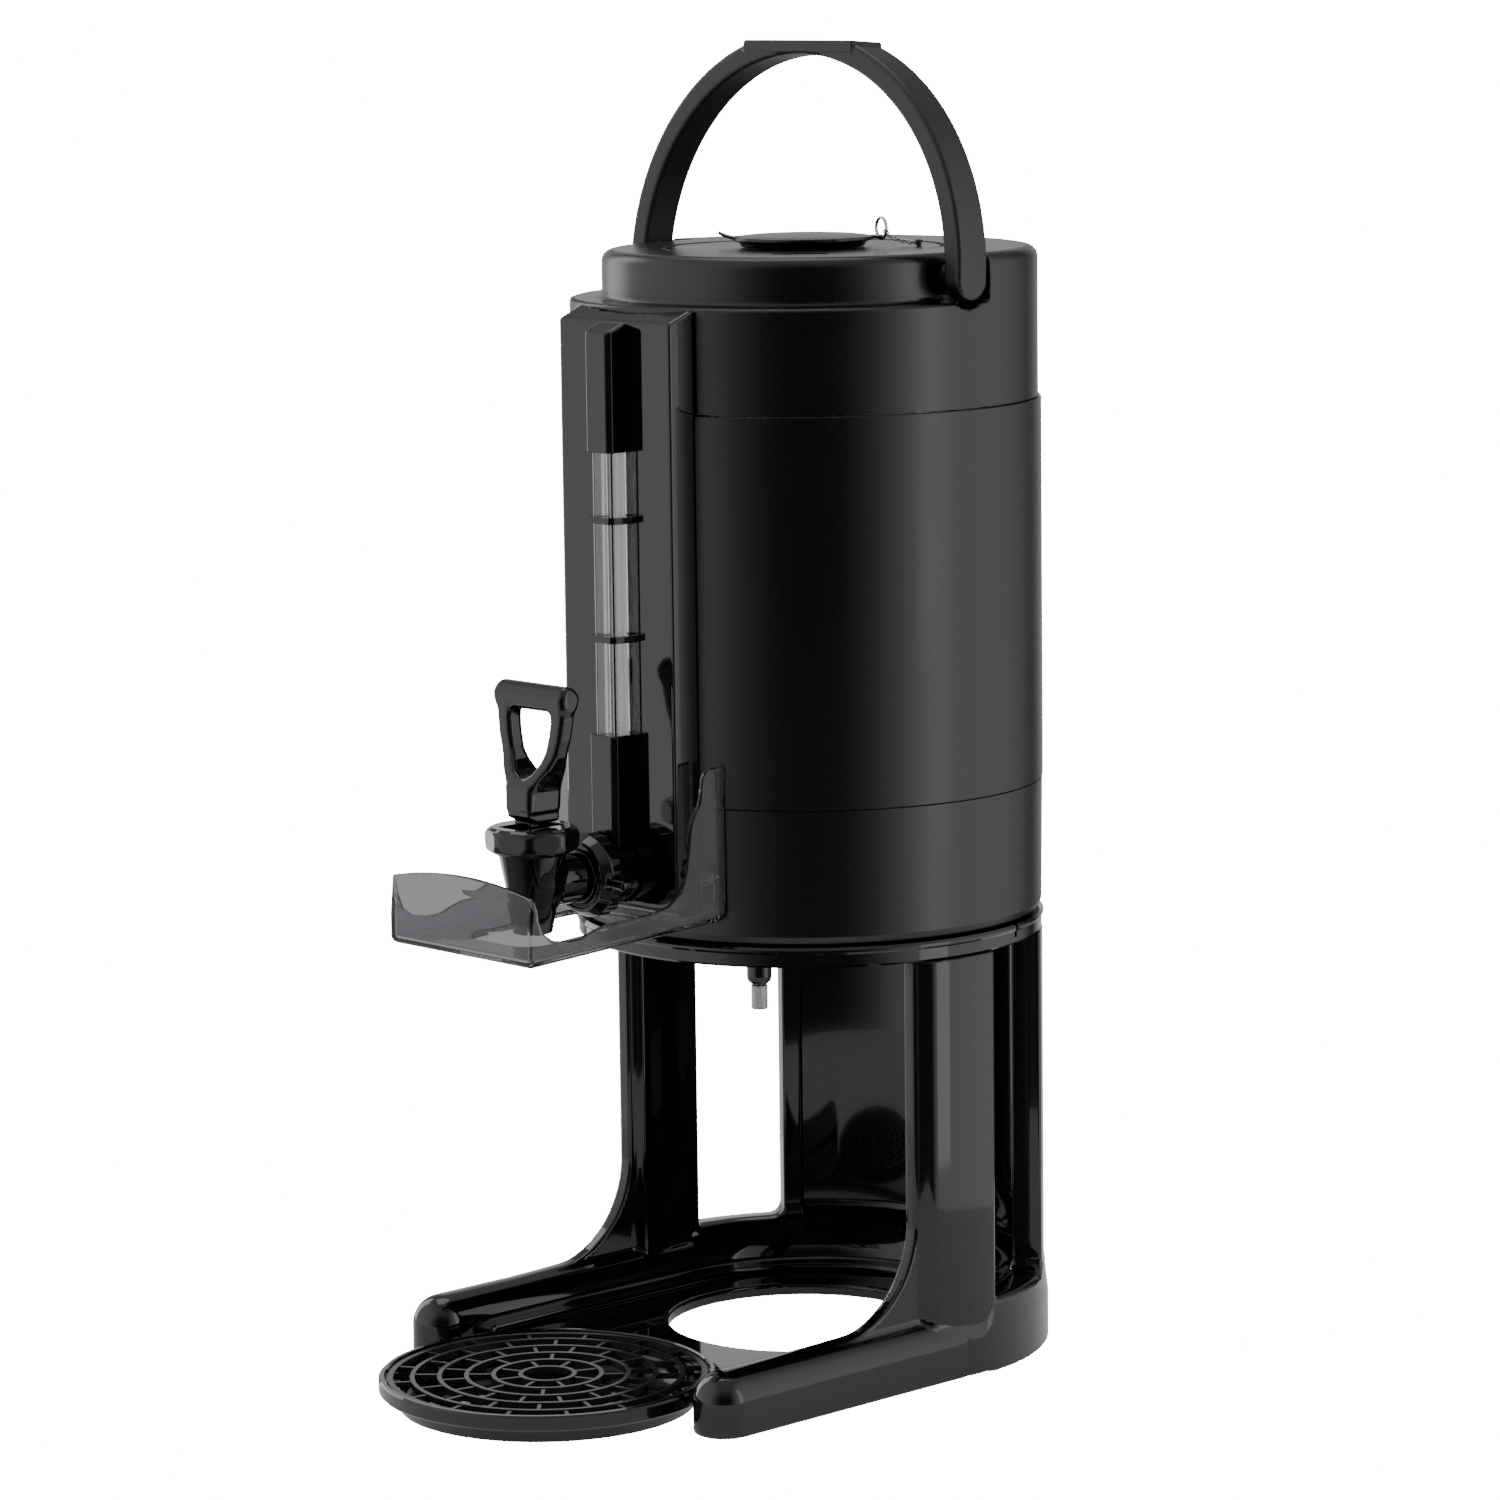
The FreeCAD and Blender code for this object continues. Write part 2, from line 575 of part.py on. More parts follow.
def coil(name, radius, wire, pitch, low, high, x, y):
    """A compression spring: round wire swept along a helix."""
    radius, wire, pitch = size(radius), size(wire), size(pitch)
    low, high = size(low), size(high)
    helix = doc.addObject("Part::Helix", f"{name}_helix")
    helix.setExpression("Radius", radius.text)
    helix.setExpression("Pitch", pitch.text)
    helix.setExpression("Height", (high - low).text)
    section = doc.addObject("Part::Circle", f"{name}_section")
    section.setExpression("Radius", wire.text)
    section.Placement = FreeCAD.Placement(Vector(0, 0, 0), FreeCAD.Rotation(Vector(1, 0, 0), 90))
    section.setExpression("Placement.Base.x", radius.text)
    doc.recompute()
    spring = doc.addObject("Part::Sweep", name)
    spring.Sections = [section]
    spring.Spine = (helix, [f"Edge{number}" for number in
                            range(1, len(helix.Shape.Edges) + 1)])
    spring.Solid = True
    spring.Frenet = True
    spring.Label = name
    parts.append(spring)
    return place(spring, x, y, low)


# ---------------------------------------------------------------- server shells
def front_opening(body, low, high, half, reach):
    """Cuts a window through the front wall, from outside inwards to the given reach."""
    pocket(body, rectangle(sketch_on(body, "XZ_Plane", lift=reach + 30), -half, half, low, high),
           size(30))


def tap_hole(body, radius, reach, depth):
    """Bores along Y through a front wall at the tap's height, from reach inwards."""
    pocket(body, circle(sketch_on(body, "XZ_Plane", lift=reach), 0, d.tap_height, radius), depth)


def make_bottom_cover():
    body = new_body("bottom_cover")
    wall, low, high = d.shell_wall, d.body_bottom, d.seam_low - d.seam / 2
    round_foot = 4
    outline = [(0, low), (d.band_foot_radius - round_foot, low),
               (d.band_foot_radius - 1.2, low + 1.2), (d.band_foot_radius, low + round_foot),
               (d.band_radius, high), (d.band_radius - wall, high),
               (d.band_foot_radius - wall, low + round_foot + 1),
               (d.band_foot_radius - wall - 2, low + wall), (0, low + wall)]
    revolve(body, polygon(sketch_on(body, "XZ_Plane"), outline))
    revolve(body, rectangle(sketch_on(body, "XZ_Plane"), d.spigot_radius - wall, d.spigot_radius,
                            low - d.spigot_drop, low + 1))
    angle = math.radians(DIMENSIONS["plunger_polar"])
    pocket(body, circle(sketch_on(body, "XY_Plane", lift=low + wall),
                        d.plunger_reach * math.cos(angle), d.plunger_reach * math.sin(angle),
                        d.pin_radius + 0.5), wall)
    tap_hole(body, d.shank_radius + 0.4, d.band_radius + 2, 20)
    screws = sketch_on(body, "XZ_Plane", lift=d.band_radius + 2)
    for side in (-1, 1):
        circle(screws, side * d.guard_screw, d.guard_bottom + 24, 1.66)
    pocket(body, screws, 20)
    return body


def make_sleeve():
    wall = 1.6
    low, high = d.seam_low + d.seam / 2, d.seam_high - d.seam / 2
    inner = d.sleeve_radius - wall
    return turned_part("outer_sleeve", [
        (inner, low), (d.sleeve_radius - 0.3, low), (d.sleeve_radius, low + 0.3),
        (d.sleeve_radius, high - 0.3), (d.sleeve_radius - 0.3, high), (inner, high)])


def make_top_cover():
    """Cap of the body: a full round at the back, set back at the front where the bail folds."""
    body = new_body("top_cover")
    wall, low, high = d.shell_wall, d.seam_high + d.seam / 2, d.body_top
    outer, inner = d.cover_radius, d.recess_radius
    neck = d.lid_radius + 0.5
    revolve(body, polygon(sketch_on(body, "XZ_Plane"), [
        (neck, high), (outer, high), (outer, low), (outer - wall, low),
        (outer - wall, d.ledge - wall - 6), (inner - wall, d.ledge - wall),
        (inner - wall, high - wall), (neck + wall, high - wall), (neck + wall, high - 11),
        (neck, high - 11)]))
    # front half cut back to the recess radius, above the ledge
    swing = DIMENSIONS["bail_eye"] + 3.3
    deep = rectangle(sketch_on(body, "XZ_Plane", turn=-90), inner, outer + 5, d.ledge, high + 5)
    groove(body, deep, angle=180, both=True)
    for side in (-1, 1):
        start = side * inner if side > 0 else -(outer + 5)
        eye = circle(sketch_on(body, "YZ_Plane", lift=start), 0, d.bail_pivot, size(swing))
        pocket(body, eye, outer + 5 - inner, back=True)
        gate = rectangle(sketch_on(body, "YZ_Plane", lift=start), -1, swing, d.bail_pivot,
                         high + 5)
        pocket(body, gate, outer + 5 - inner, back=True)
        bore = circle(sketch_on(body, "YZ_Plane", lift=side * (inner - 1)), 0, d.bail_pivot,
                      d.pivot_radius - 0.96)
        pocket(body, bore, 8, both=True)
    def top_rim(edge):
        return at_height(edge, high.value) and edge.BoundBox.XLength > 130
    round_edges(body, 5.5, top_rim)
    return body


def make_vessel():
    """Vacuum flask: an outer wall, and an inner liner made up of a base, a wall and a neck."""
    wall_of = d.vessel_wall
    crown = d.vessel_crown
    outer, low, high = d.vessel_radius, d.vessel_bottom, d.shoulder
    body = new_body("vacuum_wall")
    revolve(body, polygon(sketch_on(body, "XZ_Plane"), [
        (0, low), (outer - crown, low), (outer, low + crown), (outer, high),
        (d.neck_radius, d.neck_root), (d.neck_radius, d.neck_top),
        (d.neck_radius - wall_of, d.neck_top), (d.neck_radius - wall_of, d.neck_root - wall_of),
        (outer - wall_of, high - wall_of), (outer - wall_of, low + crown),
        (outer - crown - wall_of / 2, low + wall_of), (0, low + wall_of)]))
    tap_hole(body, d.shank_radius + 0.4, outer + 2, 14)

    outer, low, high = d.liner_radius, d.liner_bottom, d.shoulder - 5
    inner = outer - wall_of
    base = new_body("liner_base")
    revolve(base, polygon(sketch_on(base, "XZ_Plane"), [
        (0, low), (outer - crown, low), (outer, low + crown), (inner, low + crown),
        (outer - crown - wall_of / 2, low + wall_of), (0, low + wall_of)]))
    tube = new_body("liner_wall")
    revolve(tube, polygon(sketch_on(tube, "XZ_Plane"), plain_ring(
        inner, outer, low + crown, high - wall_of)))
    tap_hole(tube, d.shank_radius + 0.05, outer + 2, 14)
    neck, neck_root = d.neck_radius - d.neck_gap, d.neck_root - 6
    top = new_body("liner_neck")
    revolve(top, polygon(sketch_on(top, "XZ_Plane"), [
        (outer, high - wall_of), (outer, high), (neck, neck_root), (neck, d.neck_top),
        (neck - wall_of, d.neck_top), (neck - wall_of, neck_root - wall_of),
        (inner, high - wall_of)]))


def make_lid():
    high, low = d.body_top - 0.3, d.body_top - d.lid_thickness
    body = new_body("screw_lid")
    plug, bottom = d.plug_radius, d.body_top - d.plug_drop
    hole = d.vent_hole
    wall = 2.4
    revolve(body, polygon(sketch_on(body, "XZ_Plane"), [
        (hole, high), (d.lid_radius - 0.8, high), (d.lid_radius, high - 0.8),
        (d.lid_radius, low), (plug, low), (plug, bottom), (plug - wall, bottom),
        (plug - wall, low - wall), (hole + wall, low - wall), (hole + wall, bottom + 6),
        (hole, bottom + 6)]))
    # two finger notches opposite each other, for unscrewing
    for start in (135, 315):
        notch = rectangle(sketch_on(body, "XZ_Plane", turn=start), d.lid_radius - 11,
                          d.lid_radius - 2.4, high - 2.2, high + 1)
        groove(body, notch, angle=26, both=True)
    turned_part("lid_gasket", plain_ring(plug - 1.8, plug + 0.35, bottom - 2.6, bottom))
    fill_radius = d.fill_tube_radius
    turned_part("fill_tube", [
        (fill_radius - 1.2, d.fill_tube_end), (fill_radius, d.fill_tube_end),
        (fill_radius, bottom + 2), (hole - 0.3, bottom + 7), (hole - 0.3, bottom + 12),
        (hole - 1.5, bottom + 12), (hole - 1.5, bottom + 7.6),
        (fill_radius - 1.2, bottom + 2.6)])


def make_vent_cap():
    """Small dished cap over the lid's filling hole, with a finger tab and a lug for its ring."""
    body = new_body("vent_cap")
    base = d.body_top + 0.1
    top = base + d.cap_rise
    rim, plug = d.cap_radius, d.vent_hole - 0.7
    revolve(body, polygon(sketch_on(body, "XZ_Plane"), [
        (0, base - 1.2), (plug - 0.4, base - 1.2), (plug, base - 0.8), (plug, base), (d.cap_base, base),
        (d.cap_base + 1, base + 1.2), (rim - 0.5, top - 0.9), (rim, top - 0.4), (rim - 0.4, top),
        (rim - 3, top - 0.2), (rim - 7, top - 1.5), (0, top - 1.7)]))
    turn = DIMENSIONS["cap_polar"]
    # finger tab: a short tongue that curls upward, opposite the lug
    tab = sketch_on(body, "XZ_Plane", turn=turn + 180)
    reach = rim + 6.4
    polygon(tab, [(rim - 2, top - 1.7), (rim + 2, top - 0.9), (reach, top + 1.4),
                  (reach, top + 2.5), (rim + 2, top + 0.4), (rim - 2, top - 0.5)])
    pad(body, tab, 13, both=True)
    lug = sketch_on(body, "XZ_Plane", turn=turn)
    rectangle(lug, rim - 1.5, rim + 4.6, top - 1.6, top - 0.4)
    pad(body, lug, 6, both=True)
    eye = sketch_on(body, "XZ_Plane", turn=turn)
    groove_width = rectangle(eye, rim + 0.6, rim + 3.8, top - 4, top + 2)
    pocket(body, groove_width, 1.8, both=True)
    return body


def make_cap_chain():
    """Split ring through the cap's lug, and the short chain that ties it to the lid."""
    turn = math.radians(DIMENSIONS["cap_polar"])
    eye_reach = DIMENSIONS["cap_radius"] + 2.25
    eye_height = DIMENSIONS["body_top"] + DIMENSIONS["cap_rise"] - 1.2
    ring_radius, ring_wire, ring_lift = 4.6, 0.45, 3.6
    ring_reach = eye_reach + math.sqrt(ring_radius ** 2 - ring_lift ** 2)
    ring = doc.addObject("Part::Torus", "cap_ring")
    ring.Radius1 = ring_radius
    ring.Radius2 = ring_wire
    ring.Placement = FreeCAD.Placement(
        Vector(ring_reach * math.cos(turn), ring_reach * math.sin(turn), eye_height + ring_lift),
        FreeCAD.Rotation(Vector(math.cos(turn), math.sin(turn), 0), 90))
    ring.Label = "cap_ring"
    parts.append(ring)

    lid_top = DIMENSIONS["body_top"] - 0.3
    anchor_reach = DIMENSIONS["lid_radius"] - 9.5
    turned_part("chain_anchor", [(0, 0.02), (1.1, 0.02), (1.1, 1.5), (2.1, 1.9), (1.5, 2.7), (0, 3.0)],
                anchor_reach * math.cos(turn - 0.1), anchor_reach * math.sin(turn - 0.1), lid_top)
    # ball chain: beads on a wire, drawn straight and then turned to its own direction
    bead, wire, count = 0.8, 0.3, 5
    near = Vector((ring_reach + 4.9) * math.cos(turn + 0.03),
                  (ring_reach + 4.9) * math.sin(turn + 0.03), lid_top + bead + 0.05)
    far = Vector((anchor_reach - 2.2) * math.cos(turn - 0.095),
                 (anchor_reach - 2.2) * math.sin(turn - 0.095), lid_top + bead + 0.05)
    pitch = (far - near).Length / (count - 1)
    outline = [(0, -bead)]
    for number in range(count):
        middle = number * pitch
        if number:
            outline.append((wire, middle - bead * 0.94))
        outline += [(bead * 0.7, middle - bead * 0.72), (bead, middle - bead * 0.3),
                    (bead, middle + bead * 0.3), (bead * 0.7, middle + bead * 0.72)]
        if number < count - 1:
            outline.append((wire, middle + bead * 0.94))
    outline.append((0, (count - 1) * pitch + bead))
    chain = turned_part("cap_chain", outline, near.x, near.y, near.z, along="X")
    heading = math.degrees(math.atan2(far.y - near.y, far.x - near.x))
    chain.setExpression("Placement.Rotation.Angle", repr(heading))


# ---------------------------------------------------------------- carrying bail
def make_bail():
    """The bail is drawn upright about its pivot, then leans back a little, as it rests."""
    body = new_body("bail_handle")
    outer, inner = d.bail_outer, d.bail_outer - d.bail_thickness
    hoop = sketch_on(body, "XZ_Plane")
    circle(hoop, 0, 0, outer)
    circle(hoop, 0, 0, inner)
    pad(body, hoop, d.bail_width, both=True)
    lower = rectangle(sketch_on(body, "XZ_Plane"), -outer - 5, outer + 5, -outer - 5, 0)
    pocket(body, lower, d.bail_width + 10, both=True)
    round_edges(body, 2.2, lambda edge: is_circle(edge) and edge.Curve.Radius > inner.value - 1)
    for side in (-1, 1):
        start = inner if side > 0 else -outer
        pad(body, circle(sketch_on(body, "YZ_Plane", lift=start), 0, 0, d.bail_eye),
            d.bail_thickness)
    half, top = d.bail_plate_half, d.bail_plate_top
    plate = polygon(sketch_on(body, "XZ_Plane"), [
        (-half, top - 5.5), (-half, top - 1), (-half + 1, top), (half - 1, top), (half, top - 1),
        (half, top - 5.5), (half * 0.6, inner + 5), (-half * 0.6, inner + 5)])
    pad(body, plate, d.bail_width + 1.2, both=True)
    crown = rectangle(sketch_on(body, "XZ_Plane"), -half - 20, half + 20, top, outer + 5)
    pocket(body, crown, d.bail_width + 10, both=True)
    for side in (-1, 1):
        start = inner - 1 if side > 0 else -outer
        bore = circle(sketch_on(body, "YZ_Plane", lift=start), 0, 0, d.pivot_radius + d.fit)
        pocket(body, bore, d.bail_thickness + 1, back=True)
    body.Placement = FreeCAD.Placement(
        Vector(0, 0, d.bail_pivot.value),
        FreeCAD.Rotation(Vector(1, 0, 0), -d.bail_lean.value))
    body.setExpression("Placement.Base.z", d.bail_pivot.text)
    return body


def make_bail_pivots():
    """Two shouldered pivot pins, one through each eye of the bail into the cover's wall."""
    body = new_body("bail_pivot_pins")
    inner = d.bail_outer - d.bail_thickness
    for side in (-1, 1):
        outline = [(side * (d.recess_radius - 4), 0),
                   (side * (d.bail_outer - 1.2), 0), (side * (d.bail_outer - 1.2), d.pivot_radius),
                   (side * (inner - 0.5), d.pivot_radius),
                   (side * (inner - 0.5), d.pivot_radius - 1),
                   (side * (d.recess_radius - 4), d.pivot_radius - 1)]
        feature = revolve(body, polygon(sketch_on(body, "XY_Plane"), outline), "H_Axis")
        feature.AllowMultiFace = True
    place(body, z=d.bail_pivot)

    bushings = new_body("bail_bushings")
    for side in (-1, 1):
        outline = plain_ring(d.pivot_radius - 0.95, d.pivot_radius + 2.6,
                             side * (d.recess_radius + 0.5), side * (inner - 0.5))
        polygon_points = [(run, radius) for radius, run in outline]
        revolve(bushings, polygon(sketch_on(bushings, "XY_Plane"), polygon_points), "H_Axis")
    place(bushings, z=d.bail_pivot)


# ---------------------------------------------------------------- shroud and sight gauge
def make_shroud():
    """Front housing: a U-shaped cover from the ledge down past the tap, open at its back."""
    body = new_body("front_shroud")
    half, front, back, wall = d.shroud_half, d.shroud_front, d.shroud_back, d.shroud_wall
    low, high = d.shroud_bottom, d.ledge - 0.2
    pad(body, rectangle(sketch_on(body, "XY_Plane", lift=low), -half, half, -front, -back),
        high - low)
    # the top falls away to the front
    drop = (front - back) * math.tan(math.radians(DIMENSIONS["shroud_slope"]))
    slope = polygon(sketch_on(body, "YZ_Plane"), [
        (-back, high), (-front - 5, high + 5), (-front - 5, high - drop * 1.4),
        (-front, high - drop)])
    pocket(body, slope, half * 2 + 10, both=True)
    doc.recompute()

    def front_uprights(edge):
        return is_upright(edge) and edge.BoundBox.YMax < -front.value + 0.1
    round_edges(body, 2.4, front_uprights)

    def front_foot(edge):
        return at_height(edge, low.value) and edge.BoundBox.YMax < -front.value + 0.2
    round_edges(body, 7, front_foot)
    inside = rectangle(sketch_on(body, "XY_Plane", lift=low + wall), -(half - wall), half - wall,
                       -(front - wall), -back + 2)
    pocket(body, inside, high - low - wall * 4, back=True)
    # hollowed round the server's sleeve, and a little closer round the slimmer top cover
    clear = 0.4
    pocket(body, circle(sketch_on(body, "XY_Plane", lift=d.seam_high + 1), 0, 0,
                        d.sleeve_radius + clear), d.seam_high + 2 - low)
    pocket(body, circle(sketch_on(body, "XY_Plane", lift=d.ledge + 1), 0, 0,
                        d.cover_radius + clear), d.ledge + 1 - d.seam_high)
    slot = rectangle(sketch_on(body, "XZ_Plane", lift=front + 1), -5.6, 5.6,
                     d.tap_height, d.cover_high_end - 8)
    pocket(body, slot, wall + 2)
    socket_slot = rectangle(sketch_on(body, "XZ_Plane", lift=front + 1), -6.9, 6.9,
                            d.tap_height, d.cover_low_end + 0.2)
    pocket(body, socket_slot, wall + 2)
    tap_hole(body, d.tee_radius + 0.3, front + 1, wall + 2)
    return body


def gauge_outline(sketch, half, flare, front, back):
    """Plan of a gauge cover: narrow at the front, slightly wider where it meets the shroud."""
    nose = 1.8
    return polygon(sketch, [(-half - flare, -back), (-half, -front + nose),
                            (-half + nose, -front), (half - nose, -front),
                            (half, -front + nose), (half + flare, -back)])


def hollow_for_tube(body, low, high):
    bore = circle(sketch_on(body, "XY_Plane", lift=high), 0, -d.gauge_axis,
                  d.gauge_tube_radius + 0.1)
    pocket(body, bore, high - low)


def make_gauge():
    half, flare, front, back = d.cover_half, d.cover_flare, d.cover_front, d.shroud_front + 0.05
    high_end = d.cover_high_end
    upper = new_body("gauge_cover_upper")
    pad(upper, gauge_outline(sketch_on(upper, "XY_Plane", lift=d.gauge_high), half, flare, front,
                             back), high_end + 4 - d.gauge_high)
    slope = math.tan(math.radians(DIMENSIONS["shroud_slope"]))
    drop_back = (d.shroud_front - d.shroud_back) * slope
    drop_front = (front + 5 - d.shroud_back) * slope
    top = d.ledge - 0.2
    pocket(upper, polygon(sketch_on(upper, "YZ_Plane"), [
        (-back + 2, top - drop_back + 2 * slope), (-front - 5, top - drop_front),
        (-front - 5, top + 10), (-back + 2, top + 10)]), 40, both=True)
    hollow_for_tube(upper, d.gauge_high - 0.5, d.gauge_high + 8)

    lower = new_body("gauge_cover_lower")
    pad(lower, gauge_outline(sketch_on(lower, "XY_Plane", lift=d.cover_low_end), half + 0.4, flare,
                             front + 0.3, back), d.gauge_low - d.cover_low_end)
    hollow_for_tube(lower, d.cover_low_end, d.gauge_low)

    window = new_body("gauge_window")
    inner = d.window_half - d.window_wall
    pad(window, polygon(sketch_on(window, "XY_Plane", lift=d.gauge_low + 0.05), [
        (-d.window_half, -back), (-d.window_half, -d.window_front + 1),
        (-d.window_half + 1, -d.window_front), (d.window_half - 1, -d.window_front),
        (d.window_half, -d.window_front + 1), (d.window_half, -back), (inner, -back),
        (inner, -d.window_front + d.window_wall), (-inner, -d.window_front + d.window_wall),
        (-inner, -back)]), d.gauge_high - d.gauge_low - 0.1)

    low, high = d.tap_height + 8.4, d.gauge_high + 5.4
    turned_part("gauge_tube", plain_ring(d.gauge_tube_radius - 1, d.gauge_tube_radius, low, high),
                y=-d.gauge_axis)
    backing = new_body("gauge_backing")
    pad(backing, rectangle(sketch_on(backing, "XY_Plane", lift=d.gauge_low - 6), -7.0, 7.0,
                           -(d.shroud_front - 3.6), -(d.shroud_front - 2.9)),
        d.gauge_high - d.gauge_low + 12)

    clips = new_body("gauge_clips")
    lug = 1.0
    for height in (d.clip_low, d.clip_high):
        start = height - d.clip_height / 2
        pad(clips, gauge_outline(sketch_on(clips, "XY_Plane", lift=start), half + 0.2, flare,
                                 front - 0.4, back), d.clip_height)
        opening = d.window_half + 0.02
        pocket(clips, rectangle(sketch_on(clips, "XY_Plane", lift=start + d.clip_height), -opening,
                                opening, -(d.window_front + 0.02), -back + lug), d.clip_height)
    turned_part("gauge_vent_plug", [(0, 0), (3.2, 0), (3.2, 3), (4.3, 3), (4.3, 5), (0, 5)],
                y=-d.gauge_axis, z=high - 2.9)


# ---------------------------------------------------------------- tap
def make_tap():
    shank = d.shank_radius
    inner_end = d.liner_radius - 6
    body_face = d.tap_reach - 11
    turned_part("tap_shank", plain_ring(d.shank_bore, shank, -body_face, -inner_end),
                z=d.tap_height, along="Y")
    turned_part("shank_flange_nut", plain_ring(shank + 0.02, shank + 4.5,
                                               -(d.liner_radius - 2.2), -(inner_end + 0.4)),
                z=d.tap_height, along="Y")
    turned_part("shank_gasket", plain_ring(shank + 0.02, shank + 4.2, -(d.vessel_radius - 2.0),
                                           -(d.liner_radius + 0.2)),
                z=d.tap_height, along="Y")

    tee = new_body("gauge_tee")
    front, back = d.wing_nut_back - 0.4, d.band_radius + 0.6
    revolve(tee, polygon(sketch_on(tee, "XY_Plane"), plain_ring(shank + 0.03, d.tee_radius, -front,
                                                               -back)))
    socket = circle(sketch_on(tee, "XY_Plane"), 0, -d.gauge_axis, d.gauge_tube_radius + 2.2)
    pad(tee, socket, d.cover_low_end - d.tap_height - 0.3)
    doc.recompute()
    bore = polygon(sketch_on(tee, "XY_Plane"), plain_ring(size(0), shank + 0.03, -front - 2,
                                                          -back + 2))
    groove(tee, bore)
    tube_bore = circle(sketch_on(tee, "XY_Plane", lift=d.cover_low_end - d.tap_height + 1), 0,
                       -d.gauge_axis, d.gauge_tube_radius + 0.05)
    pocket(tee, tube_bore, d.cover_low_end - d.tap_height - 7.4)
    place(tee, z=d.tap_height)

    make_wing_nut()
    make_tap_body()
    make_lever()


def make_wing_nut():
    """Round nut that clamps the tap's shank to the shroud, with two short wings."""
    body = new_body("wing_nut")
    front, back, radius = d.wing_nut_front, d.wing_nut_back, d.wing_nut_radius
    bore = d.shank_radius + d.fit
    revolve(body, polygon(sketch_on(body, "XY_Plane"), [
        (bore, -back), (radius - 1, -back), (radius, -back - 1), (radius, -front + 4.5),
        (radius - 2.6, -front + 0.4), (radius - 3.4, -front), (bore + 2.6, -front),
        (bore + 2.2, -front + 0.8), (bore, -front + 0.8)]))
    for tilt in (-3, 177):
        wing = sketch_on(body, "XZ_Plane", lift=(front + back) / 2)
        wing.AttachmentOffset = FreeCAD.Placement(
            Vector(0, 0, 0), FreeCAD.Rotation(Vector(0, 0, 1), tilt))
        wing.setExpression("AttachmentOffset.Base.z", ((front + back) / 2).text)
        rectangle(wing, radius - 3, d.wing_span, -2.4, 2.4)
        pad(body, wing, 9, both=True)
    doc.recompute()
    return place(body, z=d.tap_height)


def make_tap_body():
    """The tap's cup and spout, its seat, stem and spring, and the bonnet that closes it."""
    y = -d.tap_reach
    wall = 2.4
    cup = new_body("tap_body")
    bottom, top = d.cup_bottom, d.cup_top
    revolve(cup, polygon(sketch_on(cup, "XZ_Plane"), [
        (0, bottom), (d.spout_radius - 0.4, bottom), (d.spout_radius, bottom + 0.6),
        (d.cup_radius, top), (0, top)]))
    neck_length = d.tap_reach - d.wing_nut_front - 1.2
    neck = circle(sketch_on(cup, "XZ_Plane"), 0, d.tap_height, d.shank_radius + 2.2)
    pad(cup, neck, neck_length, back=True)
    groove(cup, polygon(sketch_on(cup, "XZ_Plane"), [
        (0, bottom - 1), (d.spout_radius - 2, bottom - 1), (d.spout_radius - 2, d.tap_height - 8),
        (d.cup_radius - wall - 1.4, d.tap_height - 4), (d.cup_radius - wall, top + 1),
        (0, top + 1)]))
    pocket(cup, circle(sketch_on(cup, "XZ_Plane", lift=-neck_length), 0, d.tap_height,
                       d.shank_radius + 0.02), 13, back=True)
    place(cup, y=y)

    bonnet = new_body("tap_bonnet")
    radius, high = d.bonnet_radius, d.bonnet_top
    low = d.cup_top + 0.1
    revolve(bonnet, polygon(sketch_on(bonnet, "XZ_Plane"), [
        (2.1, low), (radius - 3.4, low), (radius - 0.9, low + 2.6), (radius, low + 6),
        (radius, low + 8), (radius - 0.9, low + 11), (radius - 4.2, high - 0.6),
        (radius - 6.2, high), (6.4, high), (6.4, low + 2.6), (2.1, low + 2.6)]))
    flat = radius * 0.945
    cutter = sketch_on(bonnet, "XY_Plane", lift=high + 1)
    circle(cutter, 0, 0, radius + 6)
    ring_points = []
    for number in range(8):
        angle = math.radians(45 * number)
        reach = flat / math.cos(math.radians(22.5))
        ring_points.append((reach * math.cos(angle), reach * math.sin(angle)))
    polygon(cutter, ring_points)
    pocket(bonnet, cutter, high - low + 2)
    skirt = rectangle(sketch_on(bonnet, "XZ_Plane"), d.cup_radius - wall - 2.0,
                      d.cup_radius - wall - 0.6, low - 3, low + 1)
    revolve(bonnet, skirt)
    slot = rectangle(sketch_on(bonnet, "XY_Plane", lift=high + 1), -d.lever_half - 0.5,
                     d.lever_half + 0.5, -11.5, 11.5)
    pocket(bonnet, slot, 11)
    place(bonnet, y=y)

    seat_low = d.tap_height - 8 + 0.3
    turned_part("seat_cup", [
        (0, seat_low), (3.4, seat_low), (6.6, seat_low + 3.6), (8.2, seat_low + 8),
        (8.2, seat_low + 10), (7.4, seat_low + 10), (5.6, seat_low + 6), (2.3, seat_low + 6),
        (2.3, seat_low + 3), (0, seat_low + 3)], y=y)
    stem_top = d.lever_pivot - 5.6
    turned_part("valve_stem", [
        (0, seat_low + 3.05), (2.2, seat_low + 3.05), (2.2, seat_low + 7), (3.2, seat_low + 7),
        (3.2, seat_low + 8.4), (1.8, seat_low + 8.4), (1.8, stem_top), (0, stem_top)], y=y)
    coil("valve_spring", 3.1, 0.4, 2.4, seat_low + 9.2, d.cup_top - 0.6, 0, y)


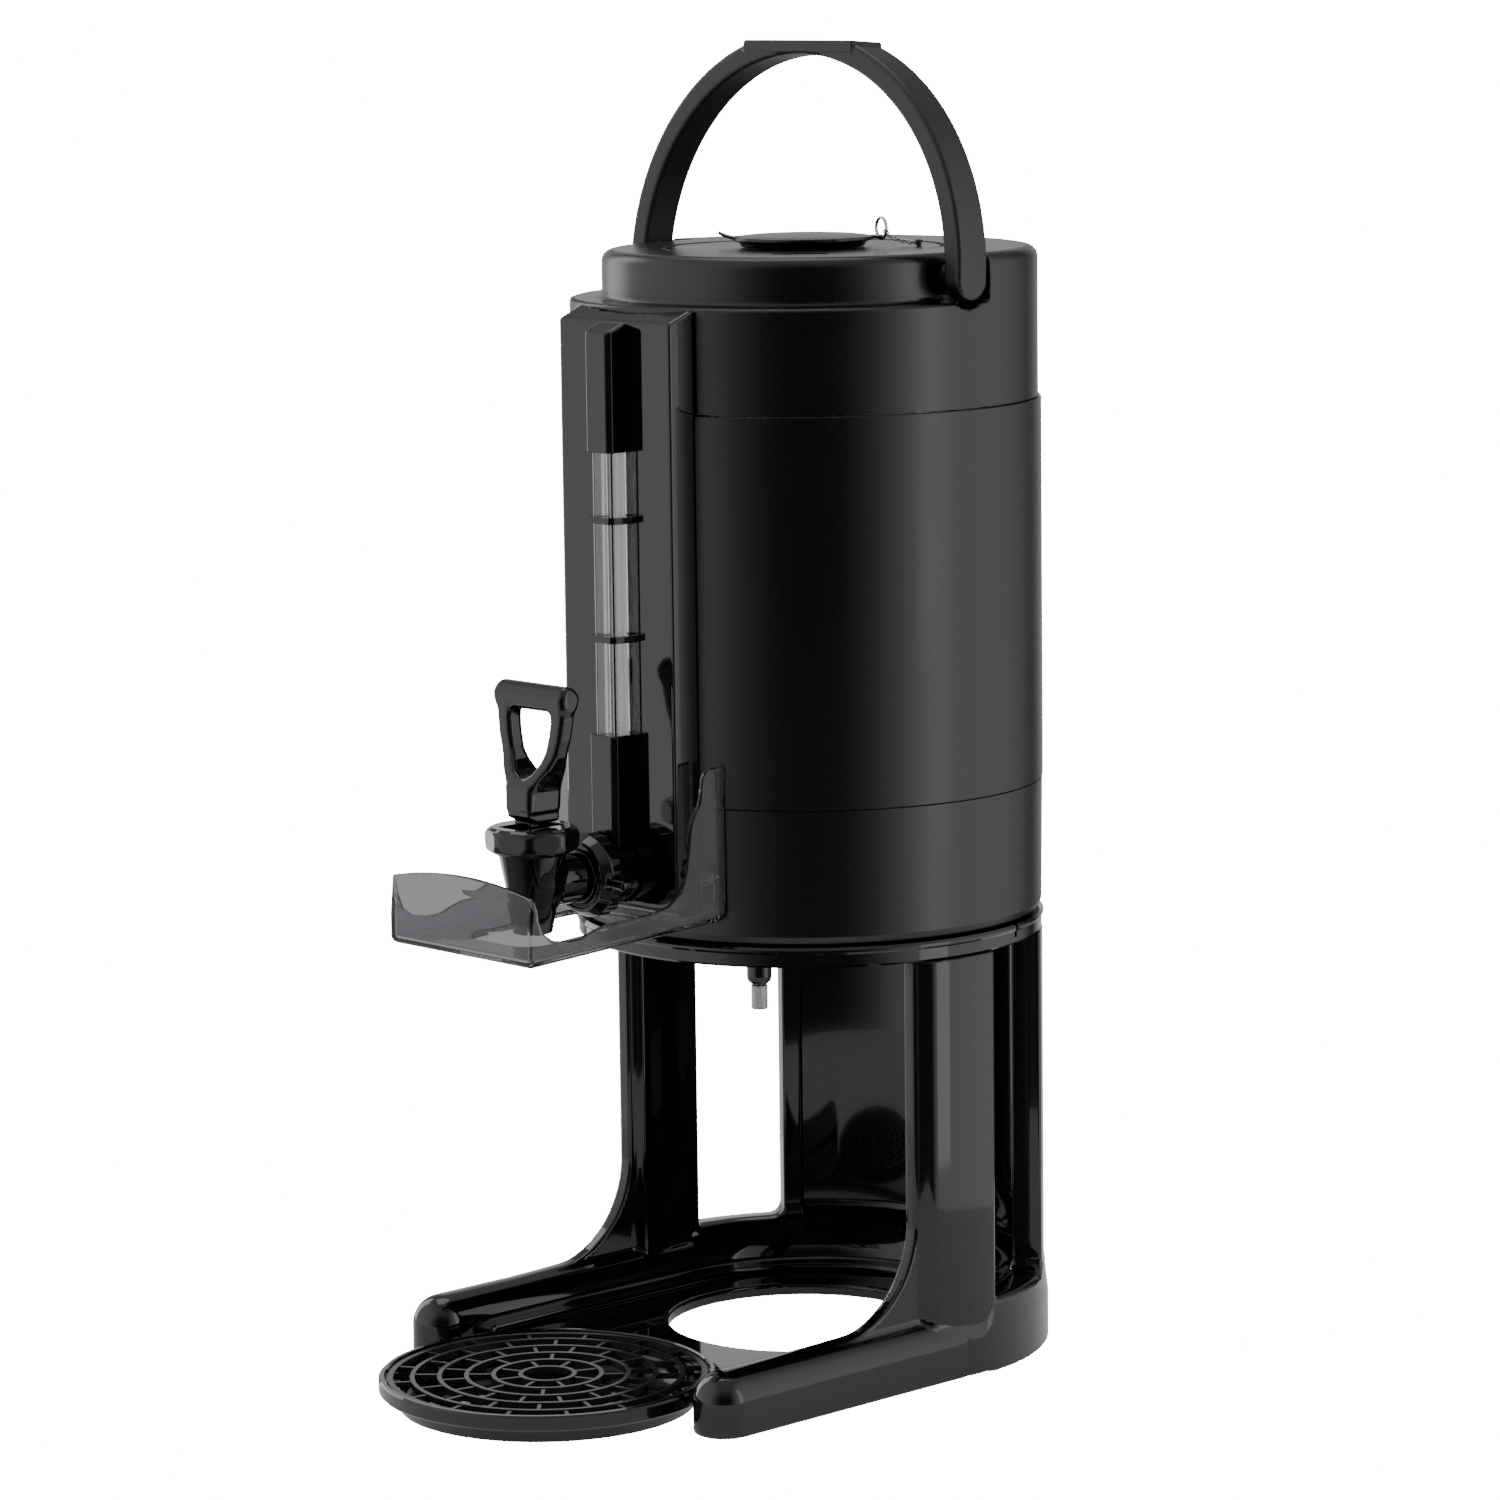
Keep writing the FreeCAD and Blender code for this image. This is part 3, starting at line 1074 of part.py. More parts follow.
def make_lever():
    """Tap lever: a block on its pivot, a tapering loop, and a round cross bar on top."""
    body = new_body("tap_lever")
    half, deep = d.lever_half, d.lever_depth / 2
    low, high = d.bonnet_top + 1.4, d.lever_block_top
    bar, bar_radius, bar_half = d.lever_bar_height, d.lever_bar_radius, d.lever_bar_half
    loop_top = bar - bar_radius + 1.4
    wall, loop_half = d.loop_wall, bar_half - 2.4

    # front view: block, then legs that spread to carry the bar
    outline = [(-half, low), (half, low), (half, high), (half + 2.6, high + 5),
               (loop_half - 2, high + 16), (loop_half, loop_top), (-loop_half, loop_top),
               (-loop_half + 2, high + 16), (-half - 2.6, high + 5), (-half, high)]
    pad(body, polygon(sketch_on(body, "XZ_Plane"), outline), deep * 2, both=True)
    round_edges(body, 1.8, is_upright)
    # side view: the block is deep, the loop above it is a slim plate
    slim = d.loop_depth / 2
    for side in (-1, 1):
        pocket(body, polygon(sketch_on(body, "YZ_Plane"), [
            (side * (deep + 1), high - 1.5), (side * (deep - 0.2), high - 1.5),
            (side * (slim + 1.8), high + 9), (side * slim, high + 15), (side * slim, bar + 10),
            (side * (deep + 1), bar + 10)]), bar_half * 2 + 10, both=True)
    # finger opening through the loop: wide at the top, round at the bottom
    eye = sketch_on(body, "XZ_Plane")
    polygon(eye, [(-4.2, high + 5.5), (-1.8, high + 4), (1.8, high + 4), (4.2, high + 5.5),
                  (loop_half - wall - 1.6, high + 16), (loop_half - wall, bar - bar_radius - 2),
                  (loop_half - wall - 2, bar - bar_radius),
                  (-(loop_half - wall - 2), bar - bar_radius),
                  (-(loop_half - wall), bar - bar_radius - 2),
                  (-(loop_half - wall - 1.6), high + 16)])
    pocket(body, eye, deep * 2 + 4, both=True)
    # cross bar with domed ends
    dome = 2.2
    bar_sketch = sketch_on(body, "XZ_Plane")
    bar_sketch.setExpression("AttachmentOffset.Base.y", bar.text)
    doc.recompute()
    polygon(bar_sketch, [
        (-bar_half, 0), (bar_half, 0), (bar_half, bar_radius - dome - 1),
        (bar_half - 0.7, bar_radius - 1.2), (bar_half - dome, bar_radius),
        (-(bar_half - dome), bar_radius), (-(bar_half - 0.7), bar_radius - 1.2),
        (-bar_half, bar_radius - dome - 1)])
    revolve(body, bar_sketch, "H_Axis")
    # tongue under the block, which drops into the bonnet and carries the pin
    pad(body, rectangle(sketch_on(body, "XZ_Plane"), -(half - 1.6), half - 1.6,
                        d.lever_pivot - 3.4, low + 1), 7.6, both=True)
    doc.recompute()
    pocket(body, circle(sketch_on(body, "YZ_Plane"), 0, d.lever_pivot, 1.5 + d.fit), 40, both=True)
    # the tongue is forked to straddle the stem, and the block's heel is cut away to tilt
    pocket(body, rectangle(sketch_on(body, "XZ_Plane"), -2.2, 2.2, d.lever_pivot - 4,
                           d.lever_pivot + 0.5), 10, both=True)
    for side in (-1, 1):
        heel = [(side * 3.5, low - 0.5), (side * 3.5, low), (side * (deep + 0.1), low + 6),
                (side * (deep + 3), low + 6), (side * (deep + 3), low - 0.5)]
        pocket(body, polygon(sketch_on(body, "YZ_Plane"), heel), half * 2 + 4, both=True)
    place(body, y=-d.tap_reach)

    turned_part("lever_pin", [(0, -7.2), (1.5, -7.2), (1.5, 7.2), (0, 7.2)], y=-d.tap_reach,
                z=d.lever_pivot, along="X")


# ---------------------------------------------------------------- splash guard
def make_guard():
    """Smoked guard round the tap: a floor with a cut-out, a front lip and two cheeks."""
    body = new_body("splash_guard")
    half, front, back, wall = d.guard_half, d.guard_front, d.guard_back, d.guard_wall
    low, rise = d.guard_bottom, d.guard_rise
    floor_back = low + rise
    # cheek outline in side view: low by the tap, swept up to the body at the back
    cheek = [(-front, low + 1.2), (-front + 1.2, low), (-back, floor_back), (-back, d.guard_top),
             (-back - d.guard_upright + 4, d.guard_top), (-back - d.guard_upright + 1, d.guard_top - 3),
             (-back - d.guard_upright, d.guard_top - 12), (-back - 18, low + 33),
             (-back - 20, low + 26), (-back - 26, low + 17), (-back - 34, low + 12.4),
             (-back - 44, low + 10.8), (-back - 56, low + 12.4), (-back - 68, low + 13.2),
             (-back - 78, low + 11.4), (-back - 86, low + 9.4), (-back - 91, low + 11.4),
             (-back - 95, low + 18), (-back - 96, low + 26), (-back - 96, low + 33),
             (-front + 5.7, low + 33), (-front, low + 12)]
    pad(body, polygon(sketch_on(body, "YZ_Plane"), cheek), half * 2, both=True)
    inner_half = half - wall
    # hollow between the cheeks, over the floor and behind the front lip
    pocket(body, polygon(sketch_on(body, "YZ_Plane"), [
        (-front + wall, low + 3.4), (-back + 1, floor_back + wall), (-back + 1, d.guard_top + 5),
        (-back - 92, d.guard_top + 5), (-back - 92, low + 34),
        (-front + wall + 5.7, low + 33), (-front + wall, low + 12)]), inner_half * 2, both=True)
    # the lip's top edge is a shallow arch between the cheeks
    steps, lip_low, lip_high = 8, low + 26, low + 33
    crest = [(half * (2 * number / steps - 1) * 0.97,
              lip_low + (lip_high - lip_low) * math.sin(math.pi * number / steps))
             for number in range(steps + 1)]
    above = crest + [(half + 2, lip_low), (half + 2, lip_high + 3), (-half - 2, lip_high + 3),
                     (-half - 2, lip_low)]
    pocket(body, polygon(sketch_on(body, "XZ_Plane", lift=front + 1), above), 13)
    # opening in the floor under the spout and the wing nut
    opening = polygon(sketch_on(body, "XY_Plane", lift=low + 10), [
        (-20, -(back + 20)), (-20, -(back + 74)), (-14, -(back + 84)), (14, -(back + 84)),
        (20, -(back + 74)), (20, -(back + 20))])
    pocket(body, opening, 12)
    # the rear of the floor is notched round the shroud and the body
    notch = rectangle(sketch_on(body, "XY_Plane", lift=low + 14), -(d.shroud_half + 0.4),
                      d.shroud_half + 0.4, -(d.shroud_front + 0.5), -back + 2)
    pocket(body, notch, 16)
    keep_off = circle(sketch_on(body, "XY_Plane", lift=low + 12), 0, 0, d.sleeve_radius + 0.6)
    pocket(body, keep_off, 14)
    # tabs at the foot of each cheek, which carry the screws into the body
    for side in (-1, 1):
        near, far = side * (d.shroud_half + 0.6), side * half
        x0, x1 = (near, far) if side > 0 else (far, near)
        pad(body, rectangle(sketch_on(body, "XZ_Plane", lift=back + 1.8), x0, x1, low + 12,
                            low + 30), 2.2)
        pocket(body, circle(sketch_on(body, "XZ_Plane", lift=back + 6), side * d.guard_screw,
                            low + 24, 1.8), 10)
    return body


def make_guard_screws():
    body = new_body("guard_screws")
    low = d.guard_bottom + 24
    face = d.guard_back + 4.05
    heads = sketch_on(body, "XZ_Plane", lift=face)
    shanks = sketch_on(body, "XZ_Plane", lift=face)
    for side in (-1, 1):
        circle(heads, side * d.guard_screw, low, 3)
        circle(shanks, side * d.guard_screw, low, 1.6)
    pad(body, heads, 1.8)
    pad(body, shanks, 8.6, back=True)
    return body


make_stand_base()
make_stand_post(1, "stand_post_right")
make_stand_post(-1, "stand_post_left")
make_stand_back()
make_stand_ring()
make_stand_feet()
make_tray()
make_grate()
make_plunger()
make_bottom_cover()
make_sleeve()
make_top_cover()
make_vessel()
make_lid()
make_vent_cap()
make_cap_chain()
make_bail()
make_bail_pivots()
make_shroud()
make_gauge()
make_tap()
make_guard()
make_guard_screws()

# ---------------------------------------------------------------- origin, check and write
# The row's origin is on the table in the middle of the footprint, ahead of the server's axis.
for part in parts:
    bound = [text for path, text in part.ExpressionEngine if path.endswith("Placement.Base.y")]
    fixed = bound[0] if bound else repr(part.Placement.Base.y)
    part.setExpression("Placement.Base.y", f"{fixed} + dims.origin_ahead")
doc.recompute()
for item in doc.Objects:
    if "Invalid" in item.State or "Error" in item.State:
        raise RuntimeError(f"{item.Name} did not build: {item.State}")
os.makedirs("parts", exist_ok=True)
for part in parts:
    if part.Shape.isNull() or not part.Shape.isValid():
        raise RuntimeError(f"{part.Label} has no valid shape")
    part.Shape.exportStep(f"parts/{part.Label}.step")
    print(f"{part.Label}: {len(part.Shape.Solids)} solid(s), {part.Shape.Volume / 1000:.1f} cm3")
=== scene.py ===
import bpy
import json
import math
import numpy as np
from mathutils import Matrix, Vector


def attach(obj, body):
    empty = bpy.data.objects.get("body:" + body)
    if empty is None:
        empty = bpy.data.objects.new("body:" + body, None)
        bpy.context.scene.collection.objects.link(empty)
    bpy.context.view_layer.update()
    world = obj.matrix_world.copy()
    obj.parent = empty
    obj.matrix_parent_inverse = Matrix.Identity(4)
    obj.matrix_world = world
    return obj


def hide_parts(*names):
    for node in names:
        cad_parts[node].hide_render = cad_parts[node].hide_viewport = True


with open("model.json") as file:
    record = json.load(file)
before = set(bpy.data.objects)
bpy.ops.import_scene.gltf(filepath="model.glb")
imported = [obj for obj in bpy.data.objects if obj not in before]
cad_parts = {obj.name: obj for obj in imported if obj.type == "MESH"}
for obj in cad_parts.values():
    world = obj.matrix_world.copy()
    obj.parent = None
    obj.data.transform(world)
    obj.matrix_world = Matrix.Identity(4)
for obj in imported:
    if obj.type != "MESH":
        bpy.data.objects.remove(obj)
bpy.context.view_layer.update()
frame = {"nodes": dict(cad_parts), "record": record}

# All lengths below are in mm about the server's upright axis, with y to the rear and z up
# from the table. at() turns them into metres in the row's frame.
MM = 0.001
AHEAD = 61.15          # the row's origin is this far in front of the server's axis


def at(x, y, z):
    """A point given in mm about the server's axis, as metres in the row's frame."""
    return Vector((x, y + AHEAD, z)) * MM


def grid_pitch(fine):
    return fine


# ---------------------------------------------------------------- materials
WHITE = (1, 1, 1, 1)


def new_material(name):
    material = bpy.data.materials.new(name)
    material.use_nodes = True
    tree = material.node_tree
    shader = tree.nodes["Principled BSDF"]
    return material, tree, shader


def add(tree, kind, **settings):
    """A new node, with its inputs or its properties set by name."""
    node = tree.nodes.new(kind)
    for key, value in settings.items():
        if key in node.inputs:
            node.inputs[key].default_value = value
        else:
            setattr(node, key, value)
    return node


def noise(tree, scale, detail=3.0, roughness=0.5, stretch=None):
    """A noise texture in object space, in cycles per metre; stretch scales it along each axis."""
    coordinates = add(tree, "ShaderNodeTexCoord")
    texture = add(tree, "ShaderNodeTexNoise", Scale=scale, Detail=detail, Roughness=roughness)
    source = coordinates.outputs["Object"]
    if stretch:
        mapping = add(tree, "ShaderNodeMapping", Scale=stretch)
        tree.links.new(source, mapping.inputs["Vector"])
        source = mapping.outputs["Vector"]
    tree.links.new(source, texture.inputs["Vector"])
    return texture.outputs["Fac"]


def spread(tree, source, low, high, from_low=0.3, from_high=0.7):
    """Maps a 0 to 1 value on to a chosen range."""
    ramp = add(tree, "ShaderNodeMapRange")
    for key, value in (("From Min", from_low), ("From Max", from_high), ("To Min", low),
                       ("To Max", high)):
        ramp.inputs[key].default_value = value
    tree.links.new(source, ramp.inputs["Value"])
    return ramp.outputs["Result"]


def tint(tree, shader, source, dark, light):
    """Base colour between dark and light, by a 0 to 1 value."""
    mix = add(tree, "ShaderNodeMix", data_type="RGBA")
    mix.inputs["A"].default_value = (*dark, 1)
    mix.inputs["B"].default_value = (*light, 1)
    tree.links.new(source, mix.inputs["Factor"])
    tree.links.new(mix.outputs["Result"], shader.inputs["Base Color"])


def bump(tree, shader, sources, distance):
    """Chains bump nodes, one for each (source, strength)."""
    normal = None
    for source, strength in sources:
        node = add(tree, "ShaderNodeBump", Strength=strength, Distance=distance)
        tree.links.new(source, node.inputs["Height"])
        if normal:
            tree.links.new(normal, node.inputs["Normal"])
        normal = node.outputs["Normal"]
    tree.links.new(normal, shader.inputs["Normal"])


GRAIN_DEPTH = 0.0002        # metres that the grain of a plastic stands up
CLOUD_SCALE, RUB_SCALE, SWELL_SCALE = 9.0, 60.0, 38.0       # cycles per metre


def plastic(name, dark, light, rough, grain_scale, grain, wear=0.05, specular=0.5, swell=0.0):
    """Moulded plastic: slightly uneven colour and gloss, a fine grain, and faint rub marks.

    swell is the strength of a slow waviness, as on a glossy moulding.
    """
    material, tree, shader = new_material(name)
    cloud = noise(tree, CLOUD_SCALE, 4.0)
    rub = noise(tree, RUB_SCALE, 6.0, 0.65, (1.0, 1.0, 0.25))
    fine = noise(tree, grain_scale, 2.0)
    tint(tree, shader, spread(tree, cloud, 0, 1), dark, light)
    gloss = add(tree, "ShaderNodeMath", operation="ADD")
    tree.links.new(spread(tree, cloud, rough[0], rough[1]), gloss.inputs[0])
    tree.links.new(spread(tree, rub, 0, wear, 0.45, 0.75), gloss.inputs[1])
    tree.links.new(gloss.outputs["Value"], shader.inputs["Roughness"])
    sources = [(fine, grain)]
    if swell:
        sources.append((noise(tree, SWELL_SCALE, 1.0), swell))
    bump(tree, shader, sources, GRAIN_DEPTH)
    shader.inputs["Specular IOR Level"].default_value = specular
    return material


def satin_plastic():
    return plastic("satin_black_plastic", (0.0018, 0.0018, 0.0019), (0.0026, 0.0026, 0.0027),
                   (0.26, 0.31), 1600.0, 0.02, wear=0.0, specular=0.75)


def handle_plastic():
    return plastic("handle_black_plastic", (0.005, 0.005, 0.0052), (0.008, 0.008, 0.0082),
                   (0.38, 0.46), 1700.0, 0.16, wear=0.06, specular=0.75)


def gloss_plastic():
    """Glossy black moulding: a wavy base under a smooth clear coat."""
    material = plastic("gloss_black_plastic", (0.0030, 0.0030, 0.0032),
                       (0.0045, 0.0045, 0.0048), (0.05, 0.08), 1500.0, 0.015, wear=0.02,
                       swell=0.03)
    shader = material.node_tree.nodes["Principled BSDF"]
    shader.inputs["Coat Weight"].default_value = 0.55
    shader.inputs["Coat Roughness"].default_value = 0.02
    return material


def grate_plastic():
    return plastic("grate_black_plastic", (0.020, 0.020, 0.0205), (0.030, 0.030, 0.0305),
                   (0.14, 0.20), 1500.0, 0.15, wear=0.08)


def soft_rubber():
    return plastic("soft_rubber", (0.018, 0.018, 0.018), (0.028, 0.028, 0.028), (0.6, 0.7),
                   1200.0, 0.3)


def backing_with_painted_glow():
    """Pale strip behind the gauge with a faint glow: painted light that stands in for the light
    reaching it through the clear tube and window.
    """
    material = plastic("backing_with_painted_glow", (0.90, 0.91, 0.92), (0.95, 0.955, 0.96),
                       (0.18, 0.26), 900.0, 0.1)
    shader = material.node_tree.nodes["Principled BSDF"]
    # painted light: the strip glows, in place of the light that the clear tube and window would let
    # through on to it
    shader.inputs["Emission Color"].default_value = WHITE
    shader.inputs["Emission Strength"].default_value = 0.32
    return material


def clear(name, colour, rough=0.02, smear=0.03):
    """Clear moulded plastic with faint handling smears."""
    material, tree, shader = new_material(name)
    cloud = noise(tree, 30.0, 4.0)
    shader.inputs["Base Color"].default_value = (*colour, 1)
    shader.inputs["Transmission Weight"].default_value = 1.0
    shader.inputs["IOR"].default_value = 1.46
    tree.links.new(spread(tree, cloud, rough, rough + smear), shader.inputs["Roughness"])
    bump(tree, shader, [(noise(tree, 22.0, 1.0), 0.03)], 0.0003)
    return material


def metal(name, colour, rough, brush=(1, 1, 1), grain_strength=0.15):
    """Worked metal; brush stretches its grain along each axis."""
    material, tree, shader = new_material(name)
    shader.inputs["Metallic"].default_value = 1.0
    cloud = noise(tree, 40.0, 4.0)
    tint(tree, shader, spread(tree, cloud, 0, 1), [c * 0.82 for c in colour], colour)
    grain = noise(tree, 900.0, 2.0, 0.5, brush)
    tree.links.new(spread(tree, grain, rough[0], rough[1]), shader.inputs["Roughness"])
    bump(tree, shader, [(grain, grain_strength)], 0.00008)
    return material


SATIN = satin_plastic()
HANDLE = handle_plastic()
GLOSS = gloss_plastic()
GRATE = grate_plastic()
RUBBER = soft_rubber()
REFLECTOR = backing_with_painted_glow()
CLEAR = clear("clear_tube_plastic", (0.96, 0.97, 0.98))
SMOKE = clear("smoked_plastic", (0.36, 0.36, 0.378))
STEEL = metal("turned_steel", (0.56, 0.55, 0.53), (0.24, 0.36), (1, 1, 4), 0.55)
STAINLESS = metal("brushed_stainless", (0.60, 0.60, 0.61), (0.22, 0.34), (1, 1, 12))
CHROME = metal("bright_chrome", (0.78, 0.78, 0.79), (0.05, 0.12))

FINISH = {"satin_black": SATIN, "handle_black": HANDLE, "gloss_black": GLOSS,
          "black_plastic": SATIN, "rubber": RUBBER, "steel": STEEL, "stainless": STAINLESS,
          "chrome": CHROME, "clear": CLEAR, "reflector": REFLECTOR, "smoke": SMOKE}
FINISH_OF_NODE = {"drip_grate": GRATE, "chain_anchor": SATIN}      # unlike their slot's

slots = {item["node"]: item["material_slot"] for item in frame["record"]["subparts"]}
for name, node in frame["nodes"].items():
    node.data.materials.clear()
    node.data.materials.append(FINISH_OF_NODE.get(name, FINISH[slots[name]]))


# ---------------------------------------------------------------- moulded shapes
# A moulded piece is a distance field in mm about the server's axis: negative inside, with
# rounded joins. surface() meshes its zero level and puts every vertex exactly on it.
FAR = 50.0             # stands for "outside" where a shape doesn't reach


def join(one, other, radius=0.0):
    """Union of two fields, with a fillet where they meet."""
    if radius <= 0:
        return np.minimum(one, other)
    near = np.hypot(np.maximum(radius - one, 0), np.maximum(radius - other, 0))
    return np.maximum(radius, np.minimum(one, other)) - near


def common(one, other, radius=0.0):
    """Intersection of two fields, with a rounded edge."""
    if radius <= 0:
        return np.maximum(one, other)
    near = np.hypot(np.maximum(radius + one, 0), np.maximum(radius + other, 0))
    return np.minimum(-radius, np.maximum(one, other)) + near


def less(one, other, radius=0.0):
    """The first field with the second cut out of it."""
    return common(one, -other, radius)


def slab(value, low, high):
    """Field of the space where a value lies between two limits."""
    return np.abs(value - (low + high) / 2) - (high - low) / 2


def outline(u, v, points, radius=0.0):
    """Distance to a closed plan polygon, its corners rounded outside by radius."""
    inside = np.zeros(np.broadcast(u, v).shape, dtype=bool)
    nearest = None
    for (u0, v0), (u1, v1) in zip(points, points[1:] + points[:1]):
        du, dv = u1 - u0, v1 - v0
        share = np.clip(((u - u0) * du + (v - v0) * dv) / (du * du + dv * dv), 0, 1)
        gap = (u - u0 - share * du) ** 2 + (v - v0 - share * dv) ** 2
        nearest = gap if nearest is None else np.minimum(nearest, gap)
        if v0 != v1:
            crosses = ((v0 > v) != (v1 > v)) & (u < (u1 - u0) * (v - v0) / (v1 - v0) + u0)
            inside = inside ^ crosses
    distance = np.sqrt(nearest)
    return np.where(inside, -distance, distance) - radius


def turned(radius, height, profile, rounding=0.0):
    """Distance to a solid of revolution whose half outline is given as (radius, height)."""
    return outline(radius, height, profile, rounding)


def slope_of(field, points, reach=0.02):
    """The field's value and its gradient at each point."""
    x, y, z = points.T
    gradient = np.stack([
        field(x + reach, y, z) - field(x - reach, y, z),
        field(x, y + reach, z) - field(x, y - reach, z),
        field(x, y, z + reach) - field(x, y, z - reach)], axis=1) / (2 * reach)
    return field(x, y, z), gradient


CORNERS = [(i, j, k) for i in (0, 1) for j in (0, 1) for k in (0, 1)]
GRID_SHIFT = 1.618         # steps between the box and the grid, so flat faces miss the grid


def mean_crossings(value, cells):
    """Mean of the places where each cell's edges cross the level, in grid steps."""
    total = np.zeros((len(cells), 3))
    hits = np.zeros(len(cells))
    for axis in range(3):
        unit = np.eye(3, dtype=int)[axis]
        for corner in CORNERS:
            if corner[axis]:
                continue
            start = cells + corner
            one = value[tuple(start.T)]
            other = value[tuple((start + unit).T)]
            cross = (one < 0) != (other < 0)
            share = np.where(cross, one / np.where(cross, one - other, 1), 0)
            total[cross] += (start + share[:, None] * unit)[cross]
            hits += cross
    return total / hits[:, None]


def settle(field, points, longest, rounds=4):
    """Moves the points on to the level in a few steps, and gives the normals there."""
    for _ in range(rounds):
        level, gradient = slope_of(field, points)
        size = np.maximum((gradient ** 2).sum(axis=1), 0.3)
        move = gradient * (level / size)[:, None]
        length = np.linalg.norm(move, axis=1)
        points -= move * np.minimum(1, longest / np.maximum(length, 1e-9))[:, None]
    _, gradient = slope_of(field, points)
    return gradient / np.maximum(np.linalg.norm(gradient, axis=1), 1e-9)[:, None]


def snap_to_rim(points, normals, base, pitch, rim):
    """Puts the vertices beside a sharp circular edge exactly on it; base is their cells' foot."""
    rim_radius, rim_height = rim
    radius = np.hypot(points[:, 0], points[:, 1])
    beside = (np.abs(radius - rim_radius) < 0.9 * pitch) & (base <= rim_height)
    beside &= rim_height < base + pitch
    outward = points[beside, :2] / radius[beside, None]
    points[beside, :2] = outward * rim_radius
    points[beside, 2] = rim_height
    normals[beside, :2] = outward
    normals[beside, 2] = 0


def quads_between(inside, index):
    """One quad for each grid edge that crosses the level, facing out."""
    counts = inside.shape
    quads = []
    for axis in range(3):
        across, over = (axis + 1) % 3, (axis + 2) % 3
        here = [slice(None)] * 3
        there = [slice(None)] * 3
        here[axis], there[axis] = slice(0, -1), slice(1, None)
        one, other = inside[tuple(here)], inside[tuple(there)]
        edges = np.argwhere(one != other)
        keep = (edges[:, across] > 0) & (edges[:, over] > 0)
        keep &= (edges[:, across] < counts[across] - 1) & (edges[:, over] < counts[over] - 1)
        edges = edges[keep]
        ring = []
        for back, down in ((0, 0), (1, 0), (1, 1), (0, 1)):
            cell = edges.copy()
            cell[:, across] -= back
            cell[:, over] -= down
            ring.append(index[tuple(cell.T)])
        ring = np.stack(ring, axis=1)
        outward = one[tuple(edges.T)]
        quads.append(np.where(outward[:, None], ring, ring[:, ::-1]))
    return np.concatenate(quads)


def surface(field, low, high, pitch, rim=None):
    """Vertices, quads and normals of the field's zero level inside a box, by surface nets.

    A sharp circular edge may be named by its (radius, height).
    """
    low = np.array(low, float) - GRID_SHIFT * pitch
    counts = [int(math.ceil((top - base) / pitch)) + 3 for base, top in zip(low, high)]
    lines = [base + pitch * np.arange(count) for base, count in zip(low, counts)]
    grid = np.meshgrid(*lines, indexing="ij", sparse=True)
    value = np.broadcast_to(field(*grid), counts).astype(np.float32)
    inside = value < 0
    corner_sum = np.zeros([count - 1 for count in counts], dtype=np.int8)
    for i, j, k in CORNERS:
        corner_sum += inside[i:counts[0] - 1 + i, j:counts[1] - 1 + j, k:counts[2] - 1 + k]
    mixed = (corner_sum > 0) & (corner_sum < 8)
    cells = np.argwhere(mixed)
    index = np.full(mixed.shape, -1, dtype=np.int64)
    index[mixed] = np.arange(len(cells))
    points = mean_crossings(value, cells) * pitch + low
    normals = settle(field, points, 0.5 * pitch)
    if rim:
        snap_to_rim(points, normals, low[2] + pitch * cells[:, 2], pitch, rim)
    return points, quads_between(inside, index), normals


def place_piece(name, mesh, body, slot_name, replaced):
    """A new piece that rides on a body and stands for CAD nodes, in its slot's finish."""
    mesh.materials.clear()
    mesh.materials.append(FINISH[slot_name])
    mesh.shade_smooth()
    piece = bpy.data.objects.new(name, mesh)
    bpy.context.scene.collection.objects.link(piece)
    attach(piece, body)
    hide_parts(*replaced)


def moulded(name, body, slot_name, field, low, high, pitch, replaced, rim=None):
    """A piece meshed from its field; low and high are a box just outside it."""
    points, quads, normals = surface(field, low, high, pitch, rim)
    mesh = bpy.data.meshes.new(name)
    points = (points + np.array([0, AHEAD, 0])) * MM
    mesh.from_pydata(points.tolist(), [], quads.tolist())
    place_piece(name, mesh, body, slot_name, replaced)
    mesh.normals_split_custom_set_from_vertices(normals.tolist())


# ---------------------------------------------------------------- stand
STAND_RADIUS, STAND_TOP = 100, 180
ARM_X, ARM_HALF, ARM_TIP = 88.65, 12.7, -136.0      # middle line, half width, tip's centre
SHOULDER, FOOT = 14.0, 1.0                          # where the round top starts; underside
DECK_LOW, DECK_TOP, DECK_FRONT = 3.5, 9.0, -118
CUP_HOLE_Y, CUP_HOLE_RADIUS = -8, 57.4
BAY_Y, BAY_RADIUS, BAY_HALF = -153.6, 70.8, 76
SILL_LOW, SILL_TOP, SILL_INNER, SILL_FRONT = 5, 31, 86.5, 9
WALL_LOW, WALL_INNER, WALL_OUTER = 20, 93.5, 99.5
WALL_MIDDLE, WALL_HALF = 90, 55                     # degrees round the axis
COLUMN_INNER, COLUMN_MIDDLE, COLUMN_HALF = 86.5, 37.9, 2.9
POST_LOW, POST_INNER, POST_FRONT, POST_REAR = 12, 85, -16.8, 7.6     # last two in degrees
RIB_LOW, RIB_INNER, RIB_OUTER, RIB_FRONT, RIB_REAR = 10, 85.6, 92.4, -112, -20
SWEEP_Y, SWEEP_Z, SWEEP_RADIUS = -72.6, 69.7, 43    # the rib's quarter circle
SWEEP_FALL = 0.08                                   # slope of the rib along the arm
STEP_OUT = 1.3                                      # the base stands this far proud


def sector(radius, angle, inner, outer, middle, half):
    """Plan of a curved wall between two radii and two angles, in degrees."""
    along = (np.abs(angle - middle) - half) * radius * (math.pi / 180)
    return common(slab(radius, inner, outer), along, 1.2)


